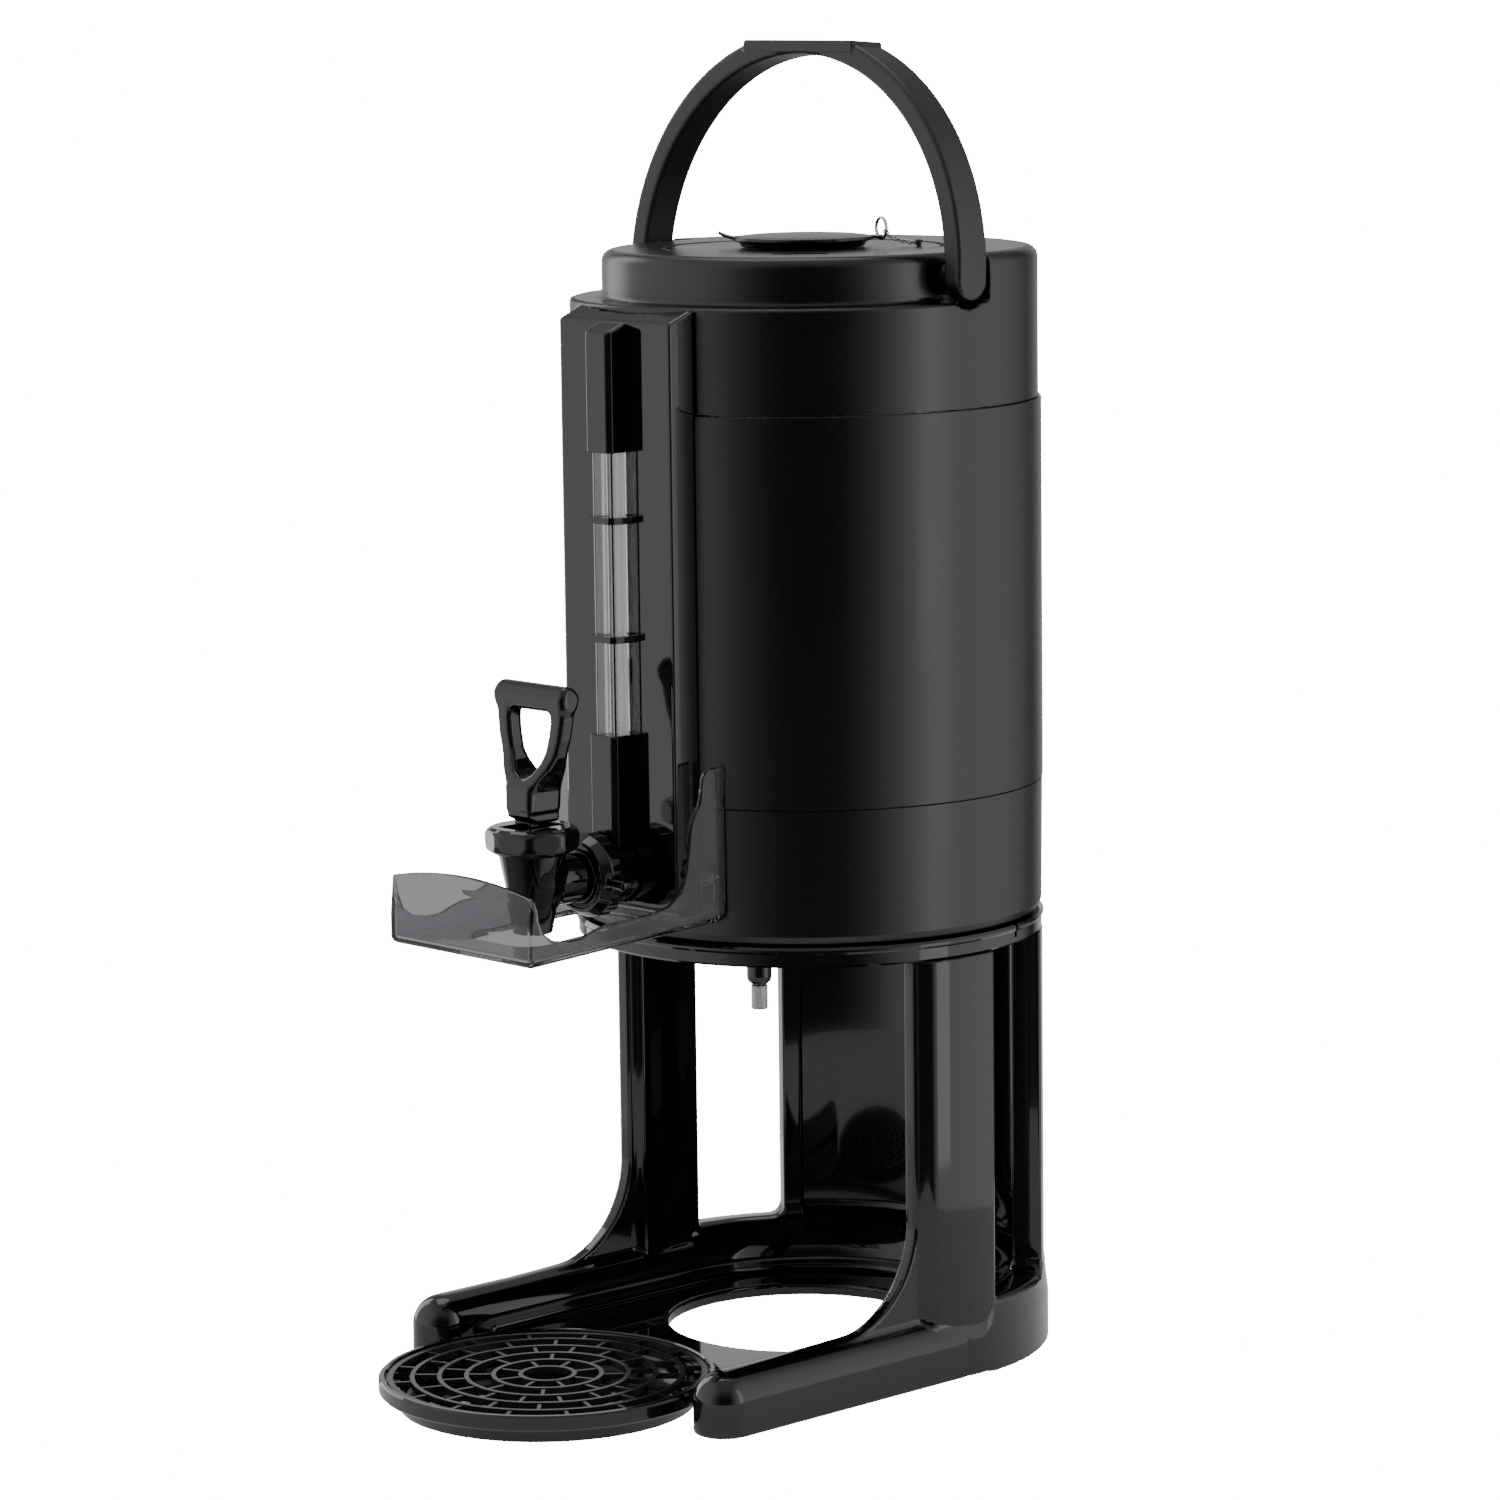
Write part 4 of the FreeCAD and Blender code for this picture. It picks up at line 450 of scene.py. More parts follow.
def shoe_field(x, y, z, radius):
    """The horseshoe: two arms with domed tips and a half ring behind, half round on top."""
    arm = np.where(y < ARM_TIP, np.hypot(x - ARM_X, y - ARM_TIP), np.abs(x - ARM_X))
    plan = np.where(y > 0, np.abs(radius - ARM_X), arm)
    shoe = np.where(z > SHOULDER, np.hypot(plan, z - SHOULDER), plan) - ARM_HALF
    return common(shoe, FOOT - z, 1.2)


def floor_field(x, y, z, radius):
    """The horseshoe and the plate inside it, with the cup hole and the bay for the tray."""
    deck = np.where(y > 0, radius - ARM_X, x - ARM_X)
    deck = common(common(deck, slab(z, DECK_LOW, DECK_TOP), 1.0), DECK_FRONT - y, 1.0)
    hole = np.hypot(x, y - CUP_HOLE_Y) - CUP_HOLE_RADIUS
    bay = np.where(x < BAY_HALF, np.hypot(x, y - BAY_Y) - BAY_RADIUS, FAR)
    solid = join(shoe_field(x, y, z, radius), deck, 3.0)
    return less(less(solid, hole, 1.4), bay, 1.4)


def sill_field(y, z, radius):
    """The low wall that runs round behind the posts."""
    sill = common(slab(radius, SILL_INNER, STAND_RADIUS), z - SILL_TOP, 3.0)
    return common(common(sill, SILL_LOW - z), SILL_FRONT - y, 3.0)


def back_field(z, radius, angle):
    """The panel that closes the back, and the column at each end of it."""
    height = slab(z, WALL_LOW, STAND_TOP)
    panel = sector(radius, angle, WALL_INNER, WALL_OUTER, WALL_MIDDLE, WALL_HALF)
    column = sector(radius, angle, COLUMN_INNER, WALL_OUTER, COLUMN_MIDDLE, COLUMN_HALF)
    return np.minimum(common(panel, height, 0.8), common(column, height, 0.8))


def rib_field(x, y, z):
    """The post's rib, which sweeps forward and runs down on to the arm."""
    drop = np.hypot(y - SWEEP_Y, np.minimum(z, SWEEP_Z) - SWEEP_Z)
    low = z - (SWEEP_Z - SWEEP_RADIUS) - (y - SWEEP_Y) * SWEEP_FALL
    sweep = np.where(y > SWEEP_Y, SWEEP_RADIUS - drop, low)
    sweep = np.where(z > SWEEP_Z, SWEEP_Y + SWEEP_RADIUS - y, sweep)
    rib = common(common(slab(x, RIB_INNER, RIB_OUTER), sweep, 1.6), slab(z, RIB_LOW, STAND_TOP), 0.8)
    return common(rib, slab(y, RIB_FRONT, RIB_REAR), 0.5)


def post_field(x, y, z, radius, angle):
    """A front post with its rib."""
    arc = radius * (math.pi / 180)
    post = common(radius - STAND_RADIUS, (POST_FRONT - angle) * arc, 8.0)
    post = common(post, (angle - POST_REAR) * arc, 4.5)
    post = common(common(post, POST_INNER - radius, 2.5), slab(z, POST_LOW, STAND_TOP), 0.8)
    return join(post, rib_field(x, y, z), 3.0)


def stand_field(x, y, z):
    x = np.abs(x)
    radius, angle = np.hypot(x, y), np.degrees(np.arctan2(y, x))
    solid = join(floor_field(x, y, z, radius), sill_field(y, z, radius), 9.0)
    solid = join(solid, back_field(z, radius, angle), 6.0)
    solid = join(solid, post_field(x, y, z, radius, angle), 2.0)
    # the joins stay within the ring's outside, and the base steps out a little below the sill
    ease = np.maximum(np.clip((SILL_TOP - z) / 11, 0, 1), np.clip((-y - 8) / 16, 0, 1))
    return np.maximum(solid, np.where(y > -8, radius, x) - STAND_RADIUS - STEP_OUT * ease)


moulded("stand_moulding", "stand", "gloss_black", stand_field, (-102, -149.5, 0.5),
        (102, 102, 180.5), grid_pitch(1.5),
        ("stand_base", "stand_post_right", "stand_post_left", "stand_back"))


# ---------------------------------------------------------------- body cover
PIVOT = 459.8                                       # height of the bail's axis
COVER_RADIUS, COVER_LOW, COVER_TOP, COVER_WALL = 98.7, 407.5, 470.5, 4.6
CORE_RADIUS, SKIRT_TOP = 85, 450.6                  # the middle stands above the skirt
RECESS_RADIUS, RECESS_X = 11.7, 84.9                # round each end of the bail
LID_HOLE_RADIUS = 58.9
NECK_RADIUS, NECK_TOP = 62.5, 459.5                 # room for the liner's neck


def cover_field(x, y, z):
    radius = np.hypot(x, y)
    core = common(radius - CORE_RADIUS, z - COVER_TOP, 5.0)
    skirt = common(radius - COVER_RADIUS, z - SKIRT_TOP, 1.6)
    recess = common(np.hypot(y, z - PIVOT) - RECESS_RADIUS, RECESS_X - np.abs(x), 0.6)
    skirt = less(skirt, recess, 1.0)
    rear = common(radius - COVER_RADIUS, z - COVER_TOP, 5.0)
    rear = less(common(rear, RECESS_RADIUS - y, 1.6), recess, 1.0)
    solid = np.maximum(join(join(core, skirt, 1.8), rear, 1.8), radius - COVER_RADIUS)
    solid = np.maximum(solid, z - COVER_TOP)
    solid = less(solid, radius - LID_HOLE_RADIUS, 0.9)
    shell = np.maximum(solid, -(solid + COVER_WALL))
    shell = common(shell, COVER_LOW - z)
    return less(shell, common(radius - NECK_RADIUS, z - NECK_TOP))


moulded("cover_moulding", "server", "satin_black", cover_field, (-99, -99, 407),
        (99, 99, 471), grid_pitch(1.4), ("top_cover",), (COVER_RADIUS, COVER_LOW))


# ---------------------------------------------------------------- bail
LEAN = math.radians(3.9)                            # the upright bail leans forward
HOOP_INNER, HOOP_OUTER, HOOP_HALF = 90.8, 100.4, 8.4
GRIP_X, GRIP_LOW, GRIP_TOP, GRIP_HALF = 33, 91.5, 96.5, 9.0     # heights above the pivot
BAIL_REACH = 101.6


def bail_field(x, y, z):
    x = np.abs(x)
    up = z - PIVOT
    depth = y * math.cos(LEAN) - up * math.sin(LEAN)
    up = up * math.cos(LEAN) + y * math.sin(LEAN)
    radius = np.where(up > 0, np.hypot(x, up), x)
    hoop = common(slab(radius, HOOP_INNER, HOOP_OUTER), np.abs(depth) - HOOP_HALF, 2.0)
    hoop = common(hoop, -up)
    hoop = common(hoop, up - GRIP_TOP, 0.8)
    eye = common(np.hypot(depth, np.minimum(up, 0)) - HOOP_HALF,
                 slab(x, HOOP_INNER, HOOP_OUTER), 1.8)
    eye = np.where(up < 0, eye, FAR)
    grip = common(x - GRIP_X, slab(up, GRIP_LOW, GRIP_TOP), 1.2)
    grip = common(grip, np.abs(depth) - GRIP_HALF, 0.8)
    grip = common(grip, HOOP_INNER - radius)
    solid = join(np.minimum(hoop, eye), grip, 0.8)
    return np.maximum(np.maximum(solid, up - GRIP_TOP), radius - BAIL_REACH)


moulded("bail_moulding", "bail", "handle_black", bail_field, (-101, -18, 450),
        (101, 18, 557), grid_pitch(1.0), ("bail_handle",))


# ---------------------------------------------------------------- tap
TAP_Y, TAP_Z = -156.5, 218.0                        # upright axis of the valve; shank's height
SPOUT_LOW, SPOUT_RADIUS, CUP_TOP = 198, 7.6, 232
CUP_FLARE = 5.8 / 30.2                              # the cup widens by this much per mm of height
CUP_SLANT = 0.982                                   # cosine of that slope
SPOUT_BORE, BORE_TOP = 5.6, 206
NECK_HALF, NECK_END = 10.2, -134.3


def cup_field(x, y, z):
    """The tap's cup, spout and neck."""
    radius = np.hypot(x, y - TAP_Y)
    cone = (radius - (SPOUT_RADIUS + CUP_FLARE * (z - SPOUT_LOW))) * CUP_SLANT
    cup = common(common(cone, SPOUT_LOW - z, 0.7), z - CUP_TOP, 0.5)
    neck = common(np.hypot(x, z - TAP_Z) - NECK_HALF, slab(y, TAP_Y, NECK_END), 0.8)
    bore = common(radius - SPOUT_BORE, z - BORE_TOP)
    return less(join(cup, neck, 2.2), bore, 0.6)


moulded("tap_cup", "server", "gloss_black", cup_field, (-14, -171, 197.5),
        (14, -134, 232.5), 0.6, ("tap_body",))

BONNET_PROFILE = [(0, 231.4), (14.6, 231.4), (18.4, 233.6), (18.9, 236), (18.9, 239.6),
                  (18.0, 241.0), (16.4, 241.9), (0, 241.9)]
BONNET_FLATS, BONNET_FLAT_HALF = 8, 18.35
BONNET_SLOT_X, BONNET_SLOT_Y = 7.3, 11.5            # half sizes of the lever's slot


def bonnet_field(x, y, z):
    """The eight-sided cap of the tap, with a slot for the lever."""
    reach = y - TAP_Y
    bulge = turned(np.hypot(x, reach), z, BONNET_PROFILE, 0.5)
    for number in range(BONNET_FLATS // 2):
        turn = math.tau * (number + 0.5) / BONNET_FLATS
        side = np.abs(x * math.cos(turn) + reach * math.sin(turn)) - BONNET_FLAT_HALF
        flats = np.maximum(flats, side) if number else side
    bulge = common(bulge, flats, 0.3)
    slot = common(np.abs(x) - BONNET_SLOT_X, np.abs(reach) - BONNET_SLOT_Y, 0.6)
    return less(bulge, common(slot, CUP_TOP - z), 0.5)


moulded("bonnet_moulding", "server", "gloss_black", bonnet_field, (-20, -177, 230.5),
        (20, -136, 243), 0.5, ("tap_bonnet",))


# ---------------------------------------------------------------- lever
PIN_Z, PIN_RADIUS = 237.6, 1.62
LEVER_Y, LEVER_LEAN = -155.6, 2.7 / 45              # middle of its thickness, and its slope
LEAN_FROM, LEAN_TO = 250, 295
THIN_HALF, THICKER = 4.1, 4.4                       # half thickness, and its growth at the foot
THICK_FROM, THICK_OVER = 274, 16
# half outlines as (across, height), from the middle line out
LEVER_OUTSIDE = [(-5, 250), (6.6, 250), (7.2, 257), (9.6, 261.5), (13.4, 266.5),
                 (16.2, 272), (18.4, 279), (19.8, 287), (20.2, 296), (-5, 296)]
LEVER_WINDOW = [(-5, 263.4), (1.6, 263.6), (4.6, 265.4), (7.4, 269.2), (9.6, 274.4),
                (11.2, 280.5), (11.9, 286), (11.5, 289.4), (9.8, 290.9), (-5, 290.9)]
BAR_Z, BAR_RADIUS, BAR_HALF = 295.2, 5.5, 21.4      # the finger bar along the top
BLOCK_X, BLOCK_Y, BLOCK_LOW, BLOCK_TOP = 7.0, 8.6, 243.8, 259.5
CHAMFER_LOW, CHAMFER_SLOPE, CHAMFER_COSINE = 242.9, 0.466, 0.906
TONGUE_X, TONGUE_RADIUS = 5.1, 5.2
FORK_X, FORK_TOP = 2.3, 238.2


def loop_field(across, y, z):
    """The open triangle of the lever, thicker towards its foot."""
    middle = LEVER_Y + LEVER_LEAN * (np.clip(z, LEAN_FROM, LEAN_TO) - LEAN_FROM)
    depth = y - middle
    share = np.clip((THICK_FROM - z) / THICK_OVER, 0, 1)
    half = THIN_HALF + THICKER * share * share * (3 - 2 * share)
    plate = outline(across, z, LEVER_OUTSIDE, 0.6)
    loop = common(plate, (np.abs(depth) - half) * 0.93, 2.4)
    loop = less(loop, outline(across, z, LEVER_WINDOW, 0.6), 2.2)
    bar = common(np.hypot(depth, z - BAR_Z) - BAR_RADIUS, across - BAR_HALF, 2.6)
    return join(loop, bar, 2.6)


def lever_field(x, y, z):
    across = np.abs(x)
    block = common(across - BLOCK_X, np.abs(y - LEVER_Y) - BLOCK_Y, 1.6)
    block = common(block, slab(z, BLOCK_LOW, BLOCK_TOP), 1.8)
    # cut away under the front, so that the block clears the bonnet when the lever tips
    chamfer = CHAMFER_LOW + CHAMFER_SLOPE * np.maximum(TAP_Y - y, 0) - z
    block = common(block, chamfer * CHAMFER_COSINE, 1.0)
    solid = join(loop_field(across, y, z), block, 2.5)
    tongue = np.hypot(y - TAP_Y, np.minimum(z - PIN_Z, 0)) - TONGUE_RADIUS
    tongue = common(common(across - TONGUE_X, tongue, 0.8), z - LEAN_FROM)
    solid = join(solid, tongue, 0.8)
    pin = np.hypot(y - TAP_Y, z - PIN_Z) - PIN_RADIUS
    fork = common(across - FORK_X, z - FORK_TOP)
    return less(less(solid, pin), fork, 0.3)


moulded("lever_moulding", "lever", "gloss_black", lever_field, (-23, -168, 233.5),
        (23, -144, 301.5), 0.55, ("tap_lever",))


# ---------------------------------------------------------------- wing nut
# half outlines as (radius, distance ahead of the server's axis)
COLLAR_PROFILE = [(0, 121.4), (16.4, 121.4), (16.4, 127.4), (14.2, 131.4), (12.6, 132.2),
                  (0, 132.2)]
COLLAR_GROOVE = [(11.0, 134), (11.6, 131.2), (12.9, 131.2), (13.6, 134)]
KNURL_DEPTH, KNURL_COUNT, KNURL_FRONT, KNURL_INNER = 0.35, 18, 127, 15.5
WING_TURN = math.radians(-3)
WING_Y, WING_THICK, WING_DEPTH, WING_IN, WING_OUT = -126.4, 2.2, 4.3, 10, 26.8
WING_FLARE, WING_FLARE_FROM = 0.05, 14
NUT_BORE = 8.1


def nut_field(x, y, z):
    up = z - TAP_Z
    radius = np.hypot(x, up)
    collar = less(turned(radius, -y, COLLAR_PROFILE, 0.75),
                  turned(radius, -y, COLLAR_GROOVE, 0.3), 0.5)
    knurl = KNURL_DEPTH * np.cos(KNURL_COUNT * np.arctan2(up, x))
    knurl = knurl * np.clip((radius - KNURL_INNER) / 1.2, 0, 1)
    collar = collar + knurl * np.where(-y < KNURL_FRONT, 1.0, 0.0)
    along = np.abs(x * math.cos(WING_TURN) + up * math.sin(WING_TURN))
    across = -x * math.sin(WING_TURN) + up * math.cos(WING_TURN)
    depth = WING_DEPTH + WING_FLARE * (along - WING_FLARE_FROM)
    wing = common(np.abs(across) - WING_THICK, np.abs(y - WING_Y) - depth, 1.6)
    wing = common(common(wing, along - WING_OUT, 1.8), WING_IN - along)
    return less(join(collar, wing, 2.2), radius - NUT_BORE, 0.3)


moulded("nut_moulding", "wing_nut", "gloss_black", nut_field, (-28, -134, 199),
        (28, -120, 237), 0.6, ("wing_nut",))


# ---------------------------------------------------------------- splash guard
# upper edge of the guard's sides as (y, height), from the front lip up to the shroud's side
GUARD_EDGE = [(-193.2, 229.5), (-193.0, 221.0), (-191.6, 213.6), (-189.2, 207.6),
              (-184.3, 204.0), (-176.0, 202.5), (-169.0, 202.7), (-162.5, 204.9),
              (-156.6, 206.4), (-146.4, 206.8), (-131.6, 207.4), (-121.1, 209.6),
              (-115.0, 214.2), (-111.9, 220.5), (-110.2, 231.0), (-108.9, 240.3),
              (-107.0, 245.4), (-104.0, 248.9), (-103.0, 254.0), (-102.4, 259.4),
              (-101.0, 262.0), (-98.2, 263.4), (-92.4, 263.8)]
GUARD_HALF, GUARD_WALL = 44.2, 2.4
GUARD_FRONT, GUARD_LOW, GUARD_RISE = -196.8, 193.4, 5.5 / 104.4     # the floor rises to the rear
FLOOR_COSINE = 0.9986
FRONT_BEND, FRONT_SLOPE = 206, 0.10                 # the front leans out above the bend
LIP_TOP, LIP_DIP, LIP_REAR = 226.4, 4.6, -190       # the front lip dips towards its ends
FLOOR_HOLE_X, FLOOR_HOLE_FRONT, FLOOR_HOLE_REAR = 20, -176.4, -112.4
SHROUD_GAP_X, SHROUD_GAP_Y, SHROUD_GAP_TOP = 34.1, -108.3, 214     # round the shroud
BODY_GAP_RADIUS = 100.6                             # clear of the server's side
TAB_INNER, TAB_OUTER, TAB_LOW, TAB_TOP = 34.3, 43.0, 206, 223
TAB_FRONT, TAB_REAR = -96.4, -94.2
SCREW_X, SCREW_Z, SCREW_HOLE = 38.6, 217.4, 1.9


def tray_field(across, y, z, base):
    """The guard's floor, front and sides, before its edge is cut."""
    sink = (base - z) * FLOOR_COSINE
    front = GUARD_FRONT - y + np.maximum(z - FRONT_BEND, 0) * FRONT_SLOPE
    outer = common(common(across - GUARD_HALF, front, 2.2), sink, 3.6)
    inner = common(across - (GUARD_HALF - GUARD_WALL), front + GUARD_WALL, 0.9)
    inner = common(inner, sink + GUARD_WALL, 1.6)
    return np.maximum(outer, -inner)


def guard_field(x, y, z):
    across = np.abs(x)
    base = GUARD_LOW + GUARD_RISE * (y - GUARD_FRONT)
    keep = outline(y, z, GUARD_EDGE + [(-80, 263.8), (-80, 180), (-205, 180), (-205, 229.5)])
    shell = common(tray_field(across, y, z, base), keep, 0.7)
    lip = z - (LIP_TOP - LIP_DIP * (across / GUARD_HALF) ** 2)
    shell = common(shell, np.where(y < LIP_REAR, lip, -6.0), 0.7)
    hole = common(across - FLOOR_HOLE_X, slab(y, FLOOR_HOLE_FRONT, FLOOR_HOLE_REAR), 9.0)
    shell = less(shell, common(hole, z - (base + 6)), 0.8)
    gap = common(common(across - SHROUD_GAP_X, SHROUD_GAP_Y - y), z - SHROUD_GAP_TOP)
    shell = less(shell, gap, 0.5)
    shell = less(shell, np.hypot(x, y) - BODY_GAP_RADIUS, 0.5)
    tab = common(slab(across, TAB_INNER, TAB_OUTER), slab(z, TAB_LOW, TAB_TOP), 1.2)
    tab = common(tab, slab(y, TAB_FRONT, TAB_REAR), 0.8)
    tab = less(tab, np.hypot(across - SCREW_X, z - SCREW_Z) - SCREW_HOLE, 0.3)
    return join(shell, tab, 0.8)


moulded("guard_moulding", "server", "smoke", guard_field, (-45, -197.5, 192.5),
        (45, -91.5, 265), grid_pitch(0.8), ("splash_guard",))


# ---------------------------------------------------------------- gauge covers and shroud
SLOPE = math.radians(22.0)                          # of the shroud's top
SLOPE_Y, SLOPE_Z = -94.6, 450.4                     # a point on that top
GAUGE_Y, GAUGE_CLEARANCE, GAUGE_TOP_FROM = -109.4, 4.5, 400
COVER_REAR = -107.86
SHROUD_HALF, SHROUD_FRONT, SHROUD_LOW, SHROUD_WALL = 33.7, -107.8, 200.5, 2.6
HOLLOW_LOW, HOLLOW_TOP = 203.2, 438
SHROUD_REAR_RADIUS, SHROUD_REAR_TOP_RADIUS, SHROUD_REAR_STEP = 100.4, 99.2, 450
SLOT_X, SLOT_LOW, SLOT_TOP, SHANK_HOLE = 5.6, 221, 432, 12.7        # through the front wall


def shroud_top(y, z):
    """Distance above the sloping top of the shroud."""
    return (z - SLOPE_Z - (y - SLOPE_Y) * math.tan(SLOPE)) * math.cos(SLOPE)


def gauge_cover(half, front, low, high):
    """Field of a cover over one end of the gauge, its front corners rounded."""
    def field(x, y, z):
        plan = outline(x, y, [(-half, -107.0), (-half, -front + 2.2), (-half + 1.6, -front + 0.8),
                              (half - 1.6, -front + 0.8), (half, -front + 2.2),
                              (half, -107.0)], 0.8)
        shape = common(common(plan, y - COVER_REAR), slab(z, low, high), 0.8)
        shape = common(shape, shroud_top(y, z), 1.2)
        tube = common(np.hypot(x, y - GAUGE_Y) - GAUGE_CLEARANCE, z - GAUGE_TOP_FROM)
        return less(shape, tube, 0.4)
    return field


for name, half, front, low, high in (("gauge_cover_upper", 7.0, 118.0, 391.7, 460.0),
                                     ("gauge_cover_lower", 7.4, 118.3, 229.0, 275.2)):
    moulded(name + "_moulding", "server", "gloss_black", gauge_cover(half, front, low, high),
            (-11, -119, low - 0.5), (11, -106.5, min(high, 446.5)), grid_pitch(0.6),
            (name,))


def shroud_field(x, y, z):
    across = np.abs(x)
    block = common(across - SHROUD_HALF, SHROUD_FRONT - y, 1.0)
    block = common(common(block, SHROUD_LOW - z, 5.0), shroud_top(y, z), 1.2)
    hollow = common(across - (SHROUD_HALF - SHROUD_WALL), SHROUD_FRONT + SHROUD_WALL - y, 1.0)
    block = np.maximum(block, -common(hollow, slab(z, HOLLOW_LOW, HOLLOW_TOP), 1.0))
    rear = np.where(z > SHROUD_REAR_STEP, SHROUD_REAR_TOP_RADIUS, SHROUD_REAR_RADIUS)
    block = less(block, np.hypot(x, y) - rear, 0.3)
    slot = common(across - SLOT_X, slab(z, SLOT_LOW, SLOT_TOP), 0.3)
    hole = np.hypot(x, z - TAP_Z) - SHANK_HOLE
    return less(block, common(np.minimum(slot, hole), y + 100), 0.3)


moulded("shroud_moulding", "server", "gloss_black", shroud_field, (-34, -108.2, 200),
        (34, -94.3, 451), grid_pitch(1.0), ("front_shroud",))


# ---------------------------------------------------------------- vent cap, ring and chain
CAP_TURN = math.radians(47.0)                       # the way that the cap's lug points
CAP_PROFILE = [(-3, 470.0), (14.9, 470.0), (15.0, 471.2), (25.6, 471.2), (26.6, 472.9),
               (28.9, 473.6), (28.9, 474.3), (24, 474.9), (12, 475.4), (-3, 475.5)]
LIP_LOW, LIP_HIGH = 473.6, 474.7
TAB_HALF, TAB_START, TAB_END = 6.3, 24, 35.6        # the thumb tab, opposite the lug
TAB_CURL, TAB_CURL_FROM = 0.028, 26
LUG_LOW, LUG_HALF, LUG_END = 473.5, 2.9, 33.9
LUG_EYE_START, LUG_EYE_END, LUG_EYE_HALF = 30.2, 32.9, 1.0


def cap_field(x, y, z):
    disc = turned(np.hypot(x, y), z, CAP_PROFILE, 0.5)
    out = x * math.cos(CAP_TURN) + y * math.sin(CAP_TURN)
    over = np.abs(-x * math.sin(CAP_TURN) + y * math.cos(CAP_TURN))
    lift = TAB_CURL * np.maximum(-out - TAB_CURL_FROM, 0) ** 2
    tab = common(slab(z, LIP_LOW + lift, LIP_HIGH + lift), over - TAB_HALF, 0.5)
    tab = common(tab, slab(-out, TAB_START, TAB_END), 0.5)
    lug = common(slab(z, LUG_LOW, LIP_HIGH), over - LUG_HALF, 0.5)
    lug = common(lug, slab(out, TAB_START, LUG_END), 0.5)
    eye = common(slab(out, LUG_EYE_START, LUG_EYE_END), over - LUG_EYE_HALF, 0.4)
    return join(less(lug, eye, 0.2), join(disc, tab, 0.8), 0.6)


moulded("vent_cap_moulding", "vent_cap", "satin_black", cap_field, (-32, -32, 469),
        (32, 32, 479), 0.6, ("vent_cap",))


def wire(name, body, slot_name, runs, radius, replaced, closed=False):
    """A piece of round wire through each run of points."""
    curve = bpy.data.curves.new(name, "CURVE")
    curve.dimensions = "3D"
    for run in runs:
        spline = curve.splines.new("NURBS")
        spline.points.add(len(run) - 1)
        for point, place in zip(spline.points, run):
            point.co = (*at(*place), 1)
        spline.order_u = 4
        spline.use_cyclic_u = closed
        spline.use_endpoint_u = not closed
        spline.resolution_u = 4
    curve.bevel_depth = radius * MM
    curve.bevel_resolution = 3
    curve.use_fill_caps = not closed
    carrier = bpy.data.objects.new(name + "_line", curve)
    mesh = bpy.data.meshes.new_from_object(carrier)
    bpy.data.objects.remove(carrier)
    mesh.name = name
    place_piece(name, mesh, body, slot_name, replaced)


RING_YAW = CAP_TURN - math.radians(62)              # the ring hangs turned from the lug
RING_RADIUS, RING_OFFSET, RING_Z, RING_WIRE = 4.5, 2.86, 477.8, 0.58
RING_SPREAD = 0.75                                  # between the first turn and the last
RING_STEPS, RING_STEP, RING_START = 48, 15, -140    # steps, degrees a step, first angle


def split_ring():
    """Two turns of wire through the lug's eye, spread a little along the ring's axis."""
    eye_reach = 31.6
    eye = (eye_reach * math.cos(CAP_TURN), eye_reach * math.sin(CAP_TURN))
    heading = (math.cos(RING_YAW), math.sin(RING_YAW))
    points = []
    for step in range(RING_STEPS + 1):
        angle = math.radians(RING_START + step * RING_STEP)
        reach = RING_OFFSET + RING_RADIUS * math.cos(angle)
        shift = RING_SPREAD * (step / RING_STEPS - 0.5)
        points.append((eye[0] + heading[0] * reach - heading[1] * shift,
                       eye[1] + heading[1] * reach + heading[0] * shift,
                       RING_Z + RING_RADIUS * math.sin(angle)))
    wire("split_ring", "vent_cap", "chrome", [points], RING_WIRE, ("cap_ring",))


LINK_COUNT, LINK_LONG, LINK_WIDE, LINK_WIRE = 8, 1.4, 0.95, 0.36    # half sizes
CHAIN_START, CHAIN_END = Vector((26.6, 22.9, 476.2)), Vector((35.6, 30.6, 471.9))
CHAIN_SWAY, CHAIN_SAG, CHAIN_REST = 0.5, 1.4, 471.6     # it lies on the lid at the last


def ring_chain():
    """Oval links from the ring's foot to the anchor on the lid, every second one turned."""
    forward = (CHAIN_END - CHAIN_START).normalized()
    sideways = forward.cross(Vector((0, 0, 1))).normalized()
    raised = sideways.cross(forward)
    links = []
    for number in range(LINK_COUNT):
        share = number / (LINK_COUNT - 1)
        sway = CHAIN_SWAY * math.sin(5 * share)
        sag = CHAIN_SAG * math.sin(math.pi * share ** 0.6)
        middle = CHAIN_START.lerp(CHAIN_END, share) + Vector((sway, 0, -sag))
        middle.z = max(middle.z, CHAIN_REST)
        wide = sideways * 0.9 + raised * 0.45 if number % 2 else raised * 0.7 - sideways * 0.6
        corners = [math.radians(45 * k) for k in range(8)]
        links.append([tuple(middle + forward * LINK_LONG * math.cos(corner)
                            + wide * LINK_WIDE * math.sin(corner)) for corner in corners])
    wire("ring_chain", "lid", "chrome", links, LINK_WIRE, ("cap_chain",), closed=True)


split_ring()
ring_chain()


# ---------------------------------------------------------------- plunger knob
KNOB_TURN, KNOB_REACH = math.radians(-57.4), 90.5   # place of the plunger, about the axis
KNOB_RADIUS, KNOB_LOW, KNOB_TOP = 3.24, 161.3, 171.6
STEM_RADIUS, STEM_LOW, STEM_TOP = 1.98, 170, 191
CUT_DEPTH, CUT_COUNT, CUT_TWIST = 0.13, 9, 2.6      # crossed knurling


